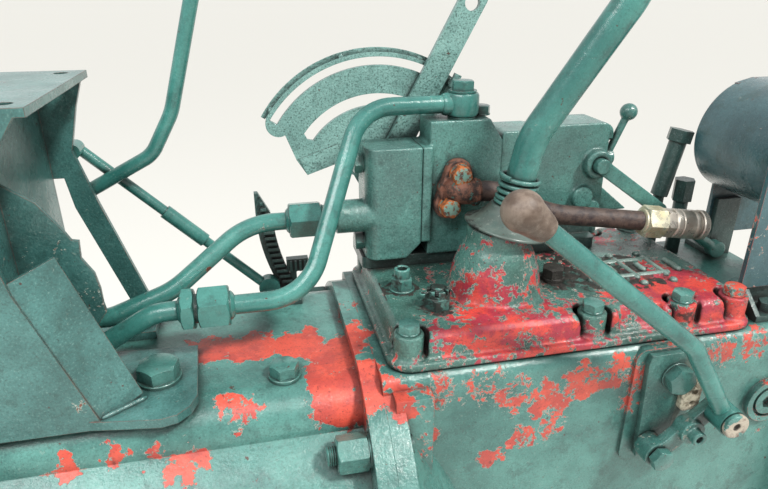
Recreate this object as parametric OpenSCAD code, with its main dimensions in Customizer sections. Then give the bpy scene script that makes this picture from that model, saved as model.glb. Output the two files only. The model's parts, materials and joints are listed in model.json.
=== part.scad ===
// Clutch housing and gearbox of a small vintage tractor, with its gear lever, range lever,
// hydraulic control valve, pipes, lever quadrant, front stand and seat pedestal.
// Millimetres. Origin on the input shaft axis at the engine-side flange face,
// X to the rear of the tractor, Y to its right-hand side, Z up.

/* [Clutch housing] */
// Length of the clutch housing from the engine flange to the gearbox joint
bell_len = 338; // [320:1:360]
// Outer radius of the bell
bell_r = 194; // [188:1:198]
// Wall of the bell
bell_wall = 10; // [8:1:14]
// Thickness of the engine flange
engine_flange_t = 18; // [14:1:24]
// Thickness of each half of the gearbox joint flange
joint_flange_t = 16; // [14:1:18]
// Diameter of the engine flange holes
engine_hole_d = 14; // [11:0.5:16]
// Diameter of the joint studs
joint_stud_d = 16; // [12:0.5:16]
// Height of the deck above the shaft axis
deck_z = 198; // [196:1:204]
// Half width of the deck
deck_half = 105; // [100:1:110]
// Radius of the deck's shoulders
deck_shoulder_r = 30; // [20:1:34]
// Distance of the clutch cross-shaft from the engine flange
cross_shaft_x = 268; // [262:1:274]
// Height of the clutch cross-shaft above the shaft axis
cross_shaft_z = 95; // [90:1:100]
// Diameter of the clutch cross-shaft
cross_shaft_d = 28; // [24:1:32]

/* [Gearbox case] */
// Length of the gearbox case behind the joint
case_len = 462; // [455:1:480]
// Half width of the gearbox case
case_half = 109; // [107:1:112]
// Depth of the case below the shaft axis
case_bottom = 200; // [190:1:205]
// Height of the case's top face above the shaft axis
case_top = 210; // [208:1:214]
// Wall of the case
case_wall = 12; // [9:1:14]
// Thickness of the rear axle flange
rear_flange_t = 18; // [14:1:22]
// Half width of the rear axle flange
rear_flange_half = 140; // [136:1:146]
// Diameter of the rear flange holes
rear_hole_d = 15; // [12:0.5:16]
// Depth of the bearing wall in front of the rear flange face
rear_recess = 42; // [38:1:46]

/* [Shafts] */
// Diameter of the input shaft behind its splines
input_shaft_d = 36; // [34:1:38]
// Diameter of each shaft in its bearing
bearing_bore = 40; // [40:1:44]
// Outer diameter of the shaft bearings
bearing_od = 72; // [68:1:76]
// Running clearance of a shaft in its bearing, on the radius
running_fit = 0.05; // [0.02:0.01:0.08]
// Distance of the pinion shaft below the input shaft
pinion_drop = 95; // [90:1:100]
// Number of splines on the shafts
spline_count = 10; // [8:1:12]

/* [Gear cover] */
// Distance of the cover's front edge behind the joint
cover_gap = 8; // [6:1:10]
// Distance of the cover's rear edge in front of the rear flange face
cover_rear_gap = 102; // [100:1:106]
// Half width of the cover
cover_half = 104; // [102:1:106]
// Height of the cover's top above the case
cover_h = 30; // [26:1:34]
// Thickness of the cover's rim flange
cover_rim_t = 8; // [6:1:10]
// Wall of the cover
cover_wall = 7; // [5:1:9]
// Distance of the cover bolts from the long edges
cover_bolt_inset = 18; // [16:1:19]
// Across flats of the cover bolts
cover_bolt_af = 17; // [16:1:19]

/* [Gear lever] */
// Distance of the lever tower from the joint
tower_x = 128; // [124:1:132]
// Sideways place of the lever tower
tower_y = -22; // [-26:1:-18]
// Height of the lever ball above the cover's top
ball_h = 22; // [20:1:25]
// Radius of the lever ball
ball_r = 20; // [18:0.5:21]
// Diameter of the gear lever rod
lever_d = 27; // [25:0.5:28]
// Rearward lean of the gear lever at rest, in degrees
lever_lean = 12; // [4:1:14]
// Diameter of the cross pin in the lever ball
cross_pin_d = 9; // [8:0.5:10]
// Outer radius of the dust cap's brim
cap_r = 40; // [38:0.5:42]
// Radius of the tower top that the dust cap rides on
cap_seat_r = 49.8; // [48:0.1:51]
// Wire diameter of the cap spring
spring_wire = 4.4; // [3.6:0.2:5]

/* [Range lever] */
// Distance of the range lever pivot behind the joint
range_x = 253; // [249:1:257]
// Height of the range lever pivot above the shaft axis
range_z = 108; // [105:1:112]
// Diameter of the range lever rod
range_rod_d = 16; // [14:0.5:17]
// Distance of the rod's centre plane from the case side
range_rod_y = 38; // [37:0.5:40]
// Across flats of the plate bolt
range_bolt_af = 24; // [22:1:26]

/* [Control valve] */
// Height of the valve bracket's top above the cover
valve_bracket_t = 12; // [10:1:14]
// Near face of the valve's end casting
valve_near_y = 31; // [30:1:34]
// Depth of the valve castings
valve_depth = 45; // [42:1:46]
// Height of the valve's end casting
valve_end_h = 113; // [108:1:118]
// Height of the middle casting
valve_mid_h = 136; // [130:1:140]
// Height of the valve pivot shaft above the bracket
lever_shaft_h = 64; // [62:1:67]
// Diameter of the painted steel pipes
pipe_d = 17; // [15:0.5:18]
// Diameter of the bare return pipe
return_pipe_d = 20; // [18:0.5:21]
// Outer diameter of the quick coupling
coupling_d = 32; // [30:0.5:33]

/* [Lever quadrant] */
// Outer radius of the quadrant
quadrant_r = 130; // [128:0.5:133]
// Width of the quadrant band
quadrant_w = 39; // [36:1:42]
// Radius of the slot's centre line
slot_r = 122; // [121:0.5:123]
// Width of the slot
slot_w = 8; // [8:0.5:9]
// Thickness of the quadrant plate
quadrant_t = 5; // [4:0.5:6]
// Width of the hydraulic lever bar
hand_bar_w = 26; // [24:1:28]
// Thickness of the hydraulic lever bar
hand_bar_t = 6; // [5:0.5:7]
// Rearward lean of the hydraulic lever at rest, in degrees
hand_bar_lean = 28; // [26:1:29]
// Length of the hydraulic lever from its pivot to its hole
hand_bar_len = 197; // [180:1:210]

/* [Front stand] */
// Front edge of the stand's side plates
stand_x0 = 24; // [20:1:30]
// Rear edge of the stand's posts at the deck
stand_x1 = 139; // [136:1:142]
// Height of the stand above the deck
stand_h = 242; // [230:1:260]
// Sheet thickness of the stand
stand_t = 5; // [4:0.5:6]
// Near side plate
stand_near_y = -105; // [-105:1:-100]
// Far side plate
stand_far_y = 60; // [58:1:64]
// Diameter of the tank saddle holes
saddle_hole_d = 11; // [9:0.5:13]

/* [Seat pedestal] */
// Length of the pedestal's feet on the case
pedestal_seat = 100; // [94:1:102]
// Length of the pedestal
pedestal_len = 190; // [180:1:200]
// Height of the pedestal's top above the case
pedestal_h = 204; // [198:1:212]
// Radius of the rolled front edge
pedestal_roll_r = 62; // [58:1:66]
// Sheet thickness of the pedestal
pedestal_t = 5; // [4:0.5:6]
// Near face of the pedestal
pedestal_near_y = -73; // [-76:1:-70]
// Far face of the pedestal
pedestal_far_y = 62; // [60:1:66]
// Diameter of the seat holes
seat_hole_d = 13; // [11:0.5:15]

/* [Hidden] */
$fn = 48;
seat_gap = 0.2;
bend_lap = 0.3;
bend_swell = 0.05;
link_hair = 0.02;
flange_len = joint_flange_t;
case_x1 = bell_len + case_len;
rear_wall_x1 = case_x1 - rear_recess;
rear_wall_x0 = rear_wall_x1 - joint_flange_t;
bearing_r = bearing_bore / 2;
cover_x0 = bell_len + cover_gap;
cover_x1 = case_x1 - cover_rear_gap;
cover_len = cover_x1 - cover_x0;
cover_z = case_top + cover_h;
cover_bolt_y = cover_half - cover_bolt_inset;
// Places of the cover bolts along the cover, as distances from its front edge
cover_bolt_dx = [19, 188, cover_len - 73, cover_len - 18];
cover_bolt_r = 5;
cover_boss_r = 13;
cover_head_h = 7;
plug_x = cover_x0 + 181;
plug_boss_x = case_x1 - 75;
// Hollow bolt and castle nut in front of the lever tower
hollow_bolt = [cover_x0 + 32, -10];
castle_nut = [cover_x0 + 55, -49];
// Angles of the joint studs from the top, in degrees
joint_stud_angles = [-129, -84, -39, 39, 84, 129, 180];
joint_nut_h = 27;
joint_nut_af = 27;
bolt_circle_r = bell_r + joint_nut_af / 2 + 0.5;
bell_flange_r = bolt_circle_r + 16;

// Gear lever
ball = [bell_len + tower_x, tower_y, cover_z + ball_h];
lever_dir = [sin(lever_lean), 0, cos(lever_lean)];
tower_r = 29;
cap_inner_r = cap_seat_r + seat_gap;
cap_brim_h = 38;
cap_top_h = 60;
neck_r = 9;
rod_h = 51;
spring_turns = 5;
spring_h = 28;
washer_t = 2.5;
lever_bend = ball + lever_dir * 124;
lever_turn = lever_bend + [63, -24, 115];
lever_end = lever_turn + [24, -8, 85];

// Range lever
pad_y = case_half + 3;
plate_y = pad_y + 6;
detent_t = 5;
arm_y0 = plate_y + 9;
arm_y1 = arm_y0 + 10;
rod_y = case_half + range_rod_y;
pivot = [bell_len + range_x, 0, range_z];
clamp = pivot + [28, 0, 24];
range_pin = pivot + [51, 0, 44];
plate_bolt = pivot + [16, 0, 73];
range_bend = pivot + [2, 0, 123];
range_top = pivot + [-143, 0, 240];

// Control valve
bracket_z = cover_z + valve_bracket_t;
valve_far_y = valve_near_y + valve_depth;
end_x0 = bell_len + 15;
end_x1 = end_x0 + 55;
body_x1 = end_x1 + 10;
mid_x1 = bell_len + 152;
right_x0 = mid_x1 + 5;
right_seam = right_x0 + 45;
right_x1 = right_x0 + 120;
right_near_y = valve_near_y + 20;
right_far_y = right_near_y + 49;
right_z0 = bracket_z + 18;
spool_h = 105;
right_z1 = right_z0 + spool_h;
inlet_z = bracket_z + 44;
inlet_y = valve_near_y + 17;
inlet_x = end_x0 - 35;
inlet_nut_x = inlet_x - 39;
hand_pivot = [end_x0 + 22, 0, bracket_z + lever_shaft_h];
hand_bar_y = valve_far_y + 6;
quadrant_y = hand_bar_y + hand_bar_t + 2;
pipe_r = pipe_d / 2;
return_r = return_pipe_d / 2;
flange_face_y = valve_near_y + 5;
return_y = 22;
return_z = bracket_z + 69;
banjo_x = mid_x1 - 39;
banjo_z = bracket_z + valve_mid_h;
banjo_y = valve_near_y + 20;
// Route of the upper pipe from the banjo down to the union by the deck
union_y = -29;
union_z = deck_z + 54;
union_x = bell_len - 118;
upper_route = [[banjo_x - 22, banjo_y, banjo_z + 13], [bell_len + 14, banjo_y, banjo_z + 13],
    [bell_len - 51, union_y, union_z], [union_x, union_y, union_z]];
// Route of the lower end of the upper pipe from the union into the stand
union_nut_len = 26;
union_route = [[union_x - union_nut_len, union_y, union_z], [union_x - union_nut_len - 36, union_y, union_z],
    [112, union_y, union_z - 26], [92, union_y, union_z - 26]];
// Route of the inlet pipe from the valve to the stand
inlet_route = [[inlet_nut_x, inlet_y, inlet_z], [inlet_nut_x - 39, inlet_y, inlet_z],
    [170, 10, 252], [117, -3, 238], [92, -3, 238]];
// Route of the bare pipe from the elbow to the coupling
return_route = [[banjo_x + 9, return_y, return_z], [banjo_x + 27, return_y, return_z],
    [banjo_x + 89, return_y - 2, return_z - 29], [banjo_x + 191, return_y - 10, return_z - 42]];
return_end = return_route[3];
coupling_dir = unit(return_end - return_route[2]);
link_top = [right_x1 - 13, 0, right_z0 + 63];
link_mid = link_top + [78, 0, -54];
link_end = [case_x1 - 32, 0, case_top + 12];
bracket_x1 = right_x1 - 6;
washer_r = 9.4;
pads_x0 = bell_len - 90;

// Stand
stand_z1 = deck_z + stand_h;
foot_t = 8;
foot_bolt = [stand_x1 + 20, -58];
// Slope of the stand's near side sheet, as forward run over rise
stand_slope = 1 / 3;

// Seat pedestal
ped_x0 = case_x1 - pedestal_seat;
ped_z1 = case_top + pedestal_h;
ped_x1 = ped_x0 + pedestal_len;
roll_x = ped_x0 + 26 + pedestal_roll_r;

paint = [0.28, 0.56, 0.53];
undercoat = [0.78, 0.27, 0.20];
dark_paint = [0.16, 0.32, 0.31];
steel = [0.62, 0.60, 0.57];
rust = [0.70, 0.38, 0.20];
brown = [0.36, 0.29, 0.26];
brass = [0.76, 0.71, 0.46];

function unit(v) = v / norm(v);
function frame_x(z) = unit(abs(z[2]) < 0.9 ? cross([0, 0, 1], z) : cross([0, 1, 0], z));
function columns(x, y, z, o) = [[x[0], y[0], z[0], o[0]], [x[1], y[1], z[1], o[1]], [x[2], y[2], z[2], o[2]]];

// Box between two opposite corners
module box(a, b) {
    translate([for (i = [0:2]) min(a[i], b[i])])
        cube([for (i = [0:2]) abs(b[i] - a[i])]);
}

// Round bars along X, Y and Z, from a to b
module x_bar(a, b, r, y, z) {
    translate([a, y, z]) rotate([0, 90, 0]) cylinder(h = b - a, r = r);
}
module y_bar(a, b, r, x, z) {
    translate([x, a, z]) rotate([-90, 0, 0]) cylinder(h = b - a, r = r);
}
module z_bar(a, b, r, x, y) {
    translate([x, y, a]) cylinder(h = b - a, r = r);
}

// Round or hexagonal bar from point a to point b
module bar(a, b, r, sides = 48) {
    z = unit(b - a);
    x = frame_x(z);
    multmatrix(columns(x, cross(z, x), z, a)) cylinder(h = norm(b - a), r = r, $fn = sides);
}

// Hexagon of a given width across its flats, along Z
module hex_z(a, b, af, x, y, turn = 0) {
    translate([x, y, a]) rotate(turn) cylinder(h = b - a, d = af / cos(30), $fn = 6);
}
// Hexagon along Y
module hex_y(a, b, af, x, z, turn = 0) {
    translate([x, a, z]) rotate([-90, 0, 0]) rotate(turn) cylinder(h = b - a, d = af / cos(30), $fn = 6);
}
// Hexagon along X
module hex_x(a, b, af, y, z, turn = 0) {
    translate([a, y, z]) rotate([0, 90, 0]) rotate(turn) cylinder(h = b - a, d = af / cos(30), $fn = 6);
}

// Rectangle with round corners, from corner a to corner b
module round_rect(a, b, r) {
    translate([a[0] + r, a[1]]) square([b[0] - a[0] - 2 * r, b[1] - a[1]]);
    translate([a[0], a[1] + r]) square([b[0] - a[0], b[1] - a[1] - 2 * r]);
    for (x = [a[0] + r, b[0] - r], y = [a[1] + r, b[1] - r])
        translate([x, y]) circle(r);
}

// Extrudes an outline drawn in YZ along X, or one drawn in XZ along Y
module along_x(a, b) {
    translate([a, 0, 0]) rotate([90, 0, 90]) linear_extrude(b - a) children();
}
module along_y(a, b) {
    translate([0, b, 0]) rotate([90, 0, 0]) linear_extrude(b - a) children();
}

// Flat link in XZ between two points, w wide, with round ends
module flat_link(p, q, w, y0, y1) {
    d = q - p;
    along_y(y0, y1) {
        translate([p[0], p[2]]) circle(w / 2);
        translate([q[0], q[2]]) circle(w / 2);
        // A hair narrower than the round ends, so that its sides cross them cleanly
        translate([p[0], p[2]]) rotate(atan2(d[2], d[0])) translate([0, -w / 2 + link_hair])
            square([norm([d[0], d[2]]), w - 2 * link_hair]);
    }
}

// Bent bar along a route of points, with one bend radius for each inner point.
// The straight lengths end just inside the bends, which are a hair thicker.
module bent_bar(route, bends, r) {
    n = len(route);
    dirs = [for (i = [0:n - 2]) unit(route[i + 1] - route[i])];
    turns = [for (i = [1:n - 2]) acos(dirs[i - 1] * dirs[i])];
    cuts = [0, for (i = [0:n - 3]) bends[i] * tan(turns[i] / 2), 0];
    for (i = [0:n - 2])
        bar(route[i] + dirs[i] * (cuts[i] - (i > 0 ? bend_lap : 0)),
            route[i + 1] - dirs[i] * (cuts[i + 1] - (i < n - 2 ? bend_lap : 0)), r);
    for (i = [1:n - 2]) {
        inward = unit(dirs[i] - dirs[i - 1] * (dirs[i - 1] * dirs[i]));
        start = route[i] - dirs[i - 1] * cuts[i];
        multmatrix(columns(-inward, dirs[i - 1], cross(-inward, dirs[i - 1]), start + inward * bends[i - 1]))
            rotate_extrude(angle = turns[i - 1]) translate([bends[i - 1], 0]) circle(r + bend_swell);
    }
}

// Keeps what lies under a height
module below(z) {
    intersection() {
        children();
        box([-200, -400, -400], [1200, 400, z]);
    }
}

// Clutch housing: open bell with a flat deck, two flanges and the cross-shaft bosses
module clutch_housing() color(paint) difference() {
    union() {
        x_bar(0, bell_len, bell_r, 0, 0);
        along_x(0, bell_len) {
            translate([-deck_half, 0]) square([2 * deck_half, deck_z - deck_shoulder_r]);
            translate([-deck_half + deck_shoulder_r, 0]) square([2 * (deck_half - deck_shoulder_r), deck_z]);
            for (s = [-1, 1])
                translate([s * (deck_half - deck_shoulder_r), deck_z - deck_shoulder_r]) circle(deck_shoulder_r);
        }
        below(case_top) x_bar(0, engine_flange_t, bell_flange_r, 0, 0);
        below(case_top) x_bar(bell_len - flange_len, bell_len, bell_flange_r, 0, 0);
        for (s = [-1, 1])
            y_bar(s > 0 ? 140 : -198, s > 0 ? 198 : -140, cross_shaft_d / 2 + 12, cross_shaft_x, cross_shaft_z);
        box([118, -80, -bell_r - 6], [222, 80, -bell_r + 30]);
    }
    x_bar(-1, bell_len + 1, bell_r - bell_wall, 0, 0);
    y_bar(-230, 230, cross_shaft_d / 2 + running_fit, cross_shaft_x, cross_shaft_z);
    box([130, -62, -bell_r - 10], [210, 62, 0]);
    for (a = [22.5:45:360])
        x_bar(-1, engine_flange_t + 1, engine_hole_d / 2, bolt_circle_r * sin(a), bolt_circle_r * cos(a));
    for (s = [-1, 1])
        x_bar(engine_flange_t, engine_flange_t + 20, 14, s * bolt_circle_r * sin(22.5), bolt_circle_r * cos(22.5));
    for (a = joint_stud_angles)
        x_bar(bell_len - flange_len - 1, bell_len + 1, joint_stud_d / 2 + seat_gap,
            bolt_circle_r * sin(a), bolt_circle_r * cos(a));
    z_bar(deck_z - 16, deck_z + 1, 10, foot_bolt[0], foot_bolt[1]);
    z_bar(deck_z - 16, deck_z + 1, 10, stand_x0 + 28, foot_bolt[1]);
}

// Clutch cross-shaft with a collar outside the near boss
module release_shaft() color(steel) {
    y_bar(-216, 190, cross_shaft_d / 2, cross_shaft_x, cross_shaft_z);
}

// Fork that straddles the release sleeve
module release_fork() color(dark_paint) difference() {
    union() {
        y_bar(-54, 54, cross_shaft_d / 2 + 9, cross_shaft_x, cross_shaft_z);
        for (s = [-1, 1]) {
            box([cross_shaft_x - 12, s * 43, 0], [cross_shaft_x + 12, s * 53, cross_shaft_z]);
            y_bar(s > 0 ? 43 : -53, s > 0 ? 53 : -43, 12, cross_shaft_x, 0);
        }
    }
    y_bar(-60, 60, cross_shaft_d / 2 + running_fit, cross_shaft_x, cross_shaft_z);
    y_bar(-60, 60, 6 + running_fit, cross_shaft_x, 0);
}

// Release sleeve with its thrust bearing and trunnion pins, sliding on the retainer tube
module release_sleeve() color(steel) difference() {
    union() {
        x_bar(cross_shaft_x - 45, cross_shaft_x + 14, 35, 0, 0);
        x_bar(cross_shaft_x - 66, cross_shaft_x - 45, 46, 0, 0);
        y_bar(-52, 52, 6, cross_shaft_x, 0);
    }
    x_bar(cross_shaft_x - 70, cross_shaft_x + 20, 27 + running_fit, 0, 0);
    x_bar(cross_shaft_x - 70, cross_shaft_x - 60, 36, 0, 0);
}

// Bearing retainer with the tube that guides the release sleeve
module bearing_retainer() color(steel) difference() {
    union() {
        x_bar(bell_len - 12, bell_len, 62, 0, 0);
        x_bar(bell_len - 124, bell_len, 27, 0, 0);
        for (a = [45:90:360])
            translate([0, 52 * cos(a), 52 * sin(a)]) hex_x(bell_len - 19, bell_len - 12, 13, 0, 0);
    }
    x_bar(bell_len - 130, bell_len + 1, input_shaft_d / 2 + 3, 0, 0);
}

// Ball bearing of the input shaft, in the case's front wall
module input_bearing() color(steel) difference() {
    x_bar(bell_len, bell_len + joint_flange_t, bearing_od / 2, 0, 0);
    x_bar(bell_len - 1, bell_len + joint_flange_t + 1, bearing_r + running_fit, 0, 0);
}

// Splined part of a shaft from a to b
module splines(a, b, r) {
    along_x(a, b) {
        circle(r - 2.5);
        for (k = [0:spline_count - 1])
            rotate(k * 360 / spline_count) translate([r - 6, -2.2]) square([6, 4.4]);
    }
}

// Input shaft with its pilot and clutch splines
module input_shaft() color(steel) {
    x_bar(16, 46, 10, 0, 0);
    splines(46, 150, input_shaft_d / 2 - 0.5);
    x_bar(150, bell_len, input_shaft_d / 2, 0, 0);
    x_bar(bell_len, bell_len + 44, bearing_r, 0, 0);
}

// Cover plate of the inspection opening under the bell
module inspection_plate() color(paint) {
    difference() {
        box([118, -80, -bell_r - 10], [222, 80, -bell_r - 6]);
        for (x = [124, 216], y = [-72, 72])
            z_bar(-bell_r - 20, -bell_r, 4.2, x, y);
    }
    for (x = [124, 216], y = [-72, 72]) {
        hex_z(-bell_r - 15, -bell_r - 10, 13, x, y);
        z_bar(-bell_r - 10.5, -bell_r - 6, 4.2, x, y);
    }
}

// Gearbox case: open hollow casting with its joint flange, flare, pads and rear flange
module gearbox_case() color(paint) difference() {
    union() {
        below(case_top) x_bar(bell_len, bell_len + flange_len, bell_flange_r, 0, 0);
        below(case_top) translate([bell_len + flange_len, 0, 0]) rotate([0, 90, 0])
            cylinder(h = 66, r1 = bell_flange_r - 19, r2 = case_half + 8);
        along_x(bell_len, case_x1)
            round_rect([-case_half, -case_bottom], [case_half, case_top], 12);
        along_x(case_x1 - rear_flange_t, case_x1)
            round_rect([-rear_flange_half, -case_bottom - 15], [rear_flange_half, case_top], 12);
        y_bar(-case_half - 6, 0, 24, plug_boss_x, 130);
        along_y(-pad_y, 0) round_rect([pivot[0] - 22, 84], [pivot[0] + 44, case_top - 2], 10);
        z_bar(-case_bottom - 8, 0, 26, bell_len + 222, 0);
        along_y(0, case_half + 5) round_rect([bell_len + 110, -70], [bell_len + 310, 120], 16);
        for (s = [-1, 1])
            box([bell_len + 8, s * (case_half - 2), case_top - 90], [bell_len + 40, s * (case_half + 14), case_top - 12]);
    }
    box([bell_len + 28, -case_half + case_wall, -case_bottom + case_wall],
        [rear_wall_x0, case_half - case_wall, case_top - case_wall]);
    box([cover_x0 + 26, -80, 0], [cover_x1 - 26, 80, case_top + 1]);
    x_bar(bell_len - 1, bell_len + 40, bearing_od / 2, 0, 0);
    box([rear_wall_x1, -case_half + case_wall, -case_bottom + case_wall],
        [case_x1 + 1, case_half - case_wall, case_top - 30]);
    x_bar(rear_wall_x0 - 1, rear_wall_x1 + 1, bearing_od / 2, 0, -pinion_drop);
    for (a = joint_stud_angles)
        x_bar(bell_len - 1, bell_len + 60, joint_stud_d / 2, bolt_circle_r * sin(a), bolt_circle_r * cos(a));
    for (s = [-1, 1], z = [-170, -60, 60, 170])
        x_bar(case_x1 - rear_flange_t - 30, case_x1 + 1, rear_hole_d / 2, s * (rear_flange_half - 15), z);
    for (dx = cover_bolt_dx, s = [-1, 1])
        z_bar(case_top - 30, case_top + 1, cover_bolt_r, cover_x0 + dx, s * cover_bolt_y);
    y_bar(-pad_y - 1, -case_half + 14, 8, plate_bolt[0], plate_bolt[2]);
    y_bar(-pad_y - 1, -case_half + 14, 8, pivot[0], pivot[2]);
    z_bar(-case_bottom - 9, -case_bottom + 4, 14, bell_len + 222, 0);
    difference() {
        y_bar(-case_half - 7, -case_half - 2, 18, plug_boss_x, 130);
        y_bar(-case_half - 8, -case_half - 1, 15, plug_boss_x, 130);
        hex_y(-case_half - 9, -case_half, 14, plug_boss_x, 130, 12);
    }
    hex_y(-case_half - 7, -case_half, 14, plug_boss_x, 130, 12);
}

// Plate over the side opening, bolted to its pad
module side_cover() color(paint) {
    along_y(case_half + 5, case_half + 11) round_rect([bell_len + 110, -70], [bell_len + 310, 120], 16);
    for (x = [124, 210, 296], z = [-56, 106])
        hex_y(case_half + 11, case_half + 18, 17, bell_len + x, z);
}

// Oil drain plug under the case
module drain_plug() color(steel) {
    z_bar(-case_bottom - 8, -case_bottom + 4, 14, bell_len + 222, 0);
    z_bar(-case_bottom - 11, -case_bottom - 8, 20, bell_len + 222, 0);
    hex_z(-case_bottom - 21, -case_bottom - 11, 24, bell_len + 222, 0);
}

// Bearing of the pinion shaft, in the rear wall
module pinion_bearing() color(steel) difference() {
    x_bar(rear_wall_x0, rear_wall_x1, bearing_od / 2, 0, -pinion_drop);
    x_bar(rear_wall_x0 - 1, rear_wall_x1 + 1, bearing_r + running_fit, 0, -pinion_drop);
}

// Bevel pinion on the output shaft
module pinion_shaft() color(steel) translate([0, 0, -pinion_drop]) {
    x_bar(rear_wall_x0 - 30, rear_wall_x1 + 5, bearing_r, 0, 0);
    difference() {
        translate([rear_wall_x1 + 5, 0, 0]) rotate([0, 90, 0]) cylinder(h = 30, r1 = 46, r2 = 38);
        for (k = [0:12])
            rotate([k * 360 / 13, 0, 0]) translate([rear_wall_x1 + 20, 0, 46]) rotate([0, 15, 0])
                cube([60, 9, 15], center = true);
    }
}

// Gear cover: ribbed lid with the hollow lever tower and raised shift pattern
module gear_cover() color(undercoat) difference() {
    cover_body();
    for (dx = cover_bolt_dx, s = [-1, 1])
        z_bar(case_top - 1, cover_z + 1, cover_bolt_r + seat_gap, cover_x0 + dx, s * cover_bolt_y);
    z_bar(cover_z - cover_wall - 1, cover_z + 1, 9, plug_x, tower_y);
}

// Lid with its scalloped bolt bosses, tower and raised shift pattern, before drilling
module cover_body() {
    difference() {
        union() {
            translate([0, 0, case_top]) linear_extrude(cover_rim_t)
                round_rect([cover_x0, -cover_half], [cover_x1, cover_half], 20);
            hull() {
                translate([0, 0, case_top + cover_rim_t]) linear_extrude(1)
                    round_rect([cover_x0 + 7, -cover_half + 7], [cover_x1 - 7, cover_half - 7], 15);
                translate([0, 0, cover_z - 5]) linear_extrude(1)
                    round_rect([cover_x0 + 9, -cover_half + 9], [cover_x1 - 9, cover_half - 9], 14);
                translate([0, 0, cover_z - 1]) linear_extrude(1)
                    round_rect([cover_x0 + 14, -cover_half + 14], [cover_x1 - 14, cover_half - 14], 12);
            }
        }
        for (dx = cover_bolt_dx, s = [-1, 1])
            z_bar(case_top + cover_rim_t, cover_z + 1, cover_boss_r + 4, cover_x0 + dx, s * cover_bolt_y);
        along_x(cover_x0 + 211, cover_x0 + 256)
            polygon([[-cover_half - 1, case_top + 13], [-cover_half + 12, case_top + 13], [-cover_half + 20, cover_z + 1],
                [-cover_half - 1, cover_z + 1]]);
        box([cover_x0 + 26, -72, case_top - 1], [cover_x1 - 26, 72, cover_z - cover_wall]);
        z_bar(cover_z - cover_wall - 1, cover_z + 1, 30, ball[0], ball[1]);
    }
    for (dx = cover_bolt_dx, s = [-1, 1])
        z_bar(case_top + cover_rim_t - 1, cover_z, cover_boss_r, cover_x0 + dx, s * cover_bolt_y);
    lever_tower();
    // Raised bars of the shift pattern: distance from the cover's front, side, length, width
    for (raised = [[216, -38, 84, 7], [216, -6, 84, 7], [228, -38, 8, 39], [260, -38, 8, 39], [292, -38, 8, 39]])
        translate([cover_x0 + raised[0], raised[1], cover_z - 0.5]) cube([raised[2], raised[3], 3]);
}

// Lever tower: a flared socket, round about the ball at its seat and at its top
module lever_tower() {
    translate(ball) difference() {
        rotate_extrude()
            polygon([[0, -ball_h - cover_wall], [30, -ball_h - cover_wall], [30, -ball_h], [46, -ball_h],
                [43, -ball_h + 8], [40, -ball_h + 24], [34, -ball_h + 40], [tower_r + 1, -ball_h + 47],
                [tower_r, -ball_h + 50], [tower_r, 60], [0, 60]]);
        difference() {
            cylinder(h = 200, r = 200);
            sphere(cap_seat_r, $fn = 96);
        }
        sphere(ball_r + running_fit, $fn = 96);
        cylinder(h = 60, r = ball_r + running_fit);
        translate([0, 0, -ball_h - cover_wall - 1]) cylinder(h = ball_h + cover_wall, r1 = 22, r2 = 12);
        box([-cross_pin_d / 2 - 0.3, -27, -cross_pin_d / 2 - 4], [cross_pin_d / 2 + 0.3, 27, 30]);
    }
}

// Cover bolts with washers, and the two studs with their nuts
module cover_bolts() color(paint) {
    for (dx = cover_bolt_dx, s = [-1, 1]) {
        on_bracket = s > 0 && cover_x0 + dx - washer_r < bracket_x1;
        lift = on_bracket ? bracket_z : cover_z;
        z_bar(case_top - 24, lift, cover_bolt_r - 0.1, cover_x0 + dx, s * cover_bolt_y);
        z_bar(lift, lift + 1.6, washer_r, cover_x0 + dx, s * cover_bolt_y);
        hex_z(lift + 1.6, lift + 1.6 + cover_head_h, cover_bolt_af, cover_x0 + dx, s * cover_bolt_y, dx);
    }
    difference() {
        union() {
            z_bar(cover_z, cover_z + 2, 12, hollow_bolt[0], hollow_bolt[1]);
            hex_z(cover_z + 2, cover_z + 13, 19, hollow_bolt[0], hollow_bolt[1], 12);
            z_bar(cover_z + 13, cover_z + 22, 7.5, hollow_bolt[0], hollow_bolt[1]);
        }
        z_bar(cover_z + 12, cover_z + 23, 4.5, hollow_bolt[0], hollow_bolt[1]);
    }
    difference() {
        union() {
            hex_z(cover_z, cover_z + 11, 22, castle_nut[0], castle_nut[1], 8);
            z_bar(cover_z + 11, cover_z + 18, 10, castle_nut[0], castle_nut[1]);
        }
        for (a = [0, 60, 120])
            translate([castle_nut[0], castle_nut[1], cover_z + 13.5]) rotate(a) translate([-15, -2, 0]) cube([30, 4, 6]);
    }
    z_bar(cover_z + 13, cover_z + 20, 6, castle_nut[0], castle_nut[1]);
}

// Dirty filler plug behind the lever tower
module filler_plug() color(brown) {
    z_bar(cover_z - 6, cover_z, 8.8, plug_x, tower_y);
    z_bar(cover_z, cover_z + 4, 11, plug_x, tower_y);
    hex_z(cover_z + 4, cover_z + 14, 19, plug_x, tower_y);
}

// Long nuts and stud ends round the joint flange
module joint_nuts() color(paint) {
    for (a = joint_stud_angles)
        translate([0, bolt_circle_r * sin(a), bolt_circle_r * cos(a)]) {
            hex_x(bell_len - flange_len - joint_nut_h, bell_len - flange_len, joint_nut_af, 0, 0, 30 - a);
            x_bar(bell_len - flange_len - joint_nut_h - 8, bell_len + 20, joint_stud_d / 2 - 0.1, 0, 0);
        }
}

// Cross pin that turns with the lever about X and lets it swing about Y
module lever_cross_pin() color(steel) {
    y_bar(ball[1] - 26, ball[1] + 26, cross_pin_d / 2, ball[0], ball[2]);
}

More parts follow.
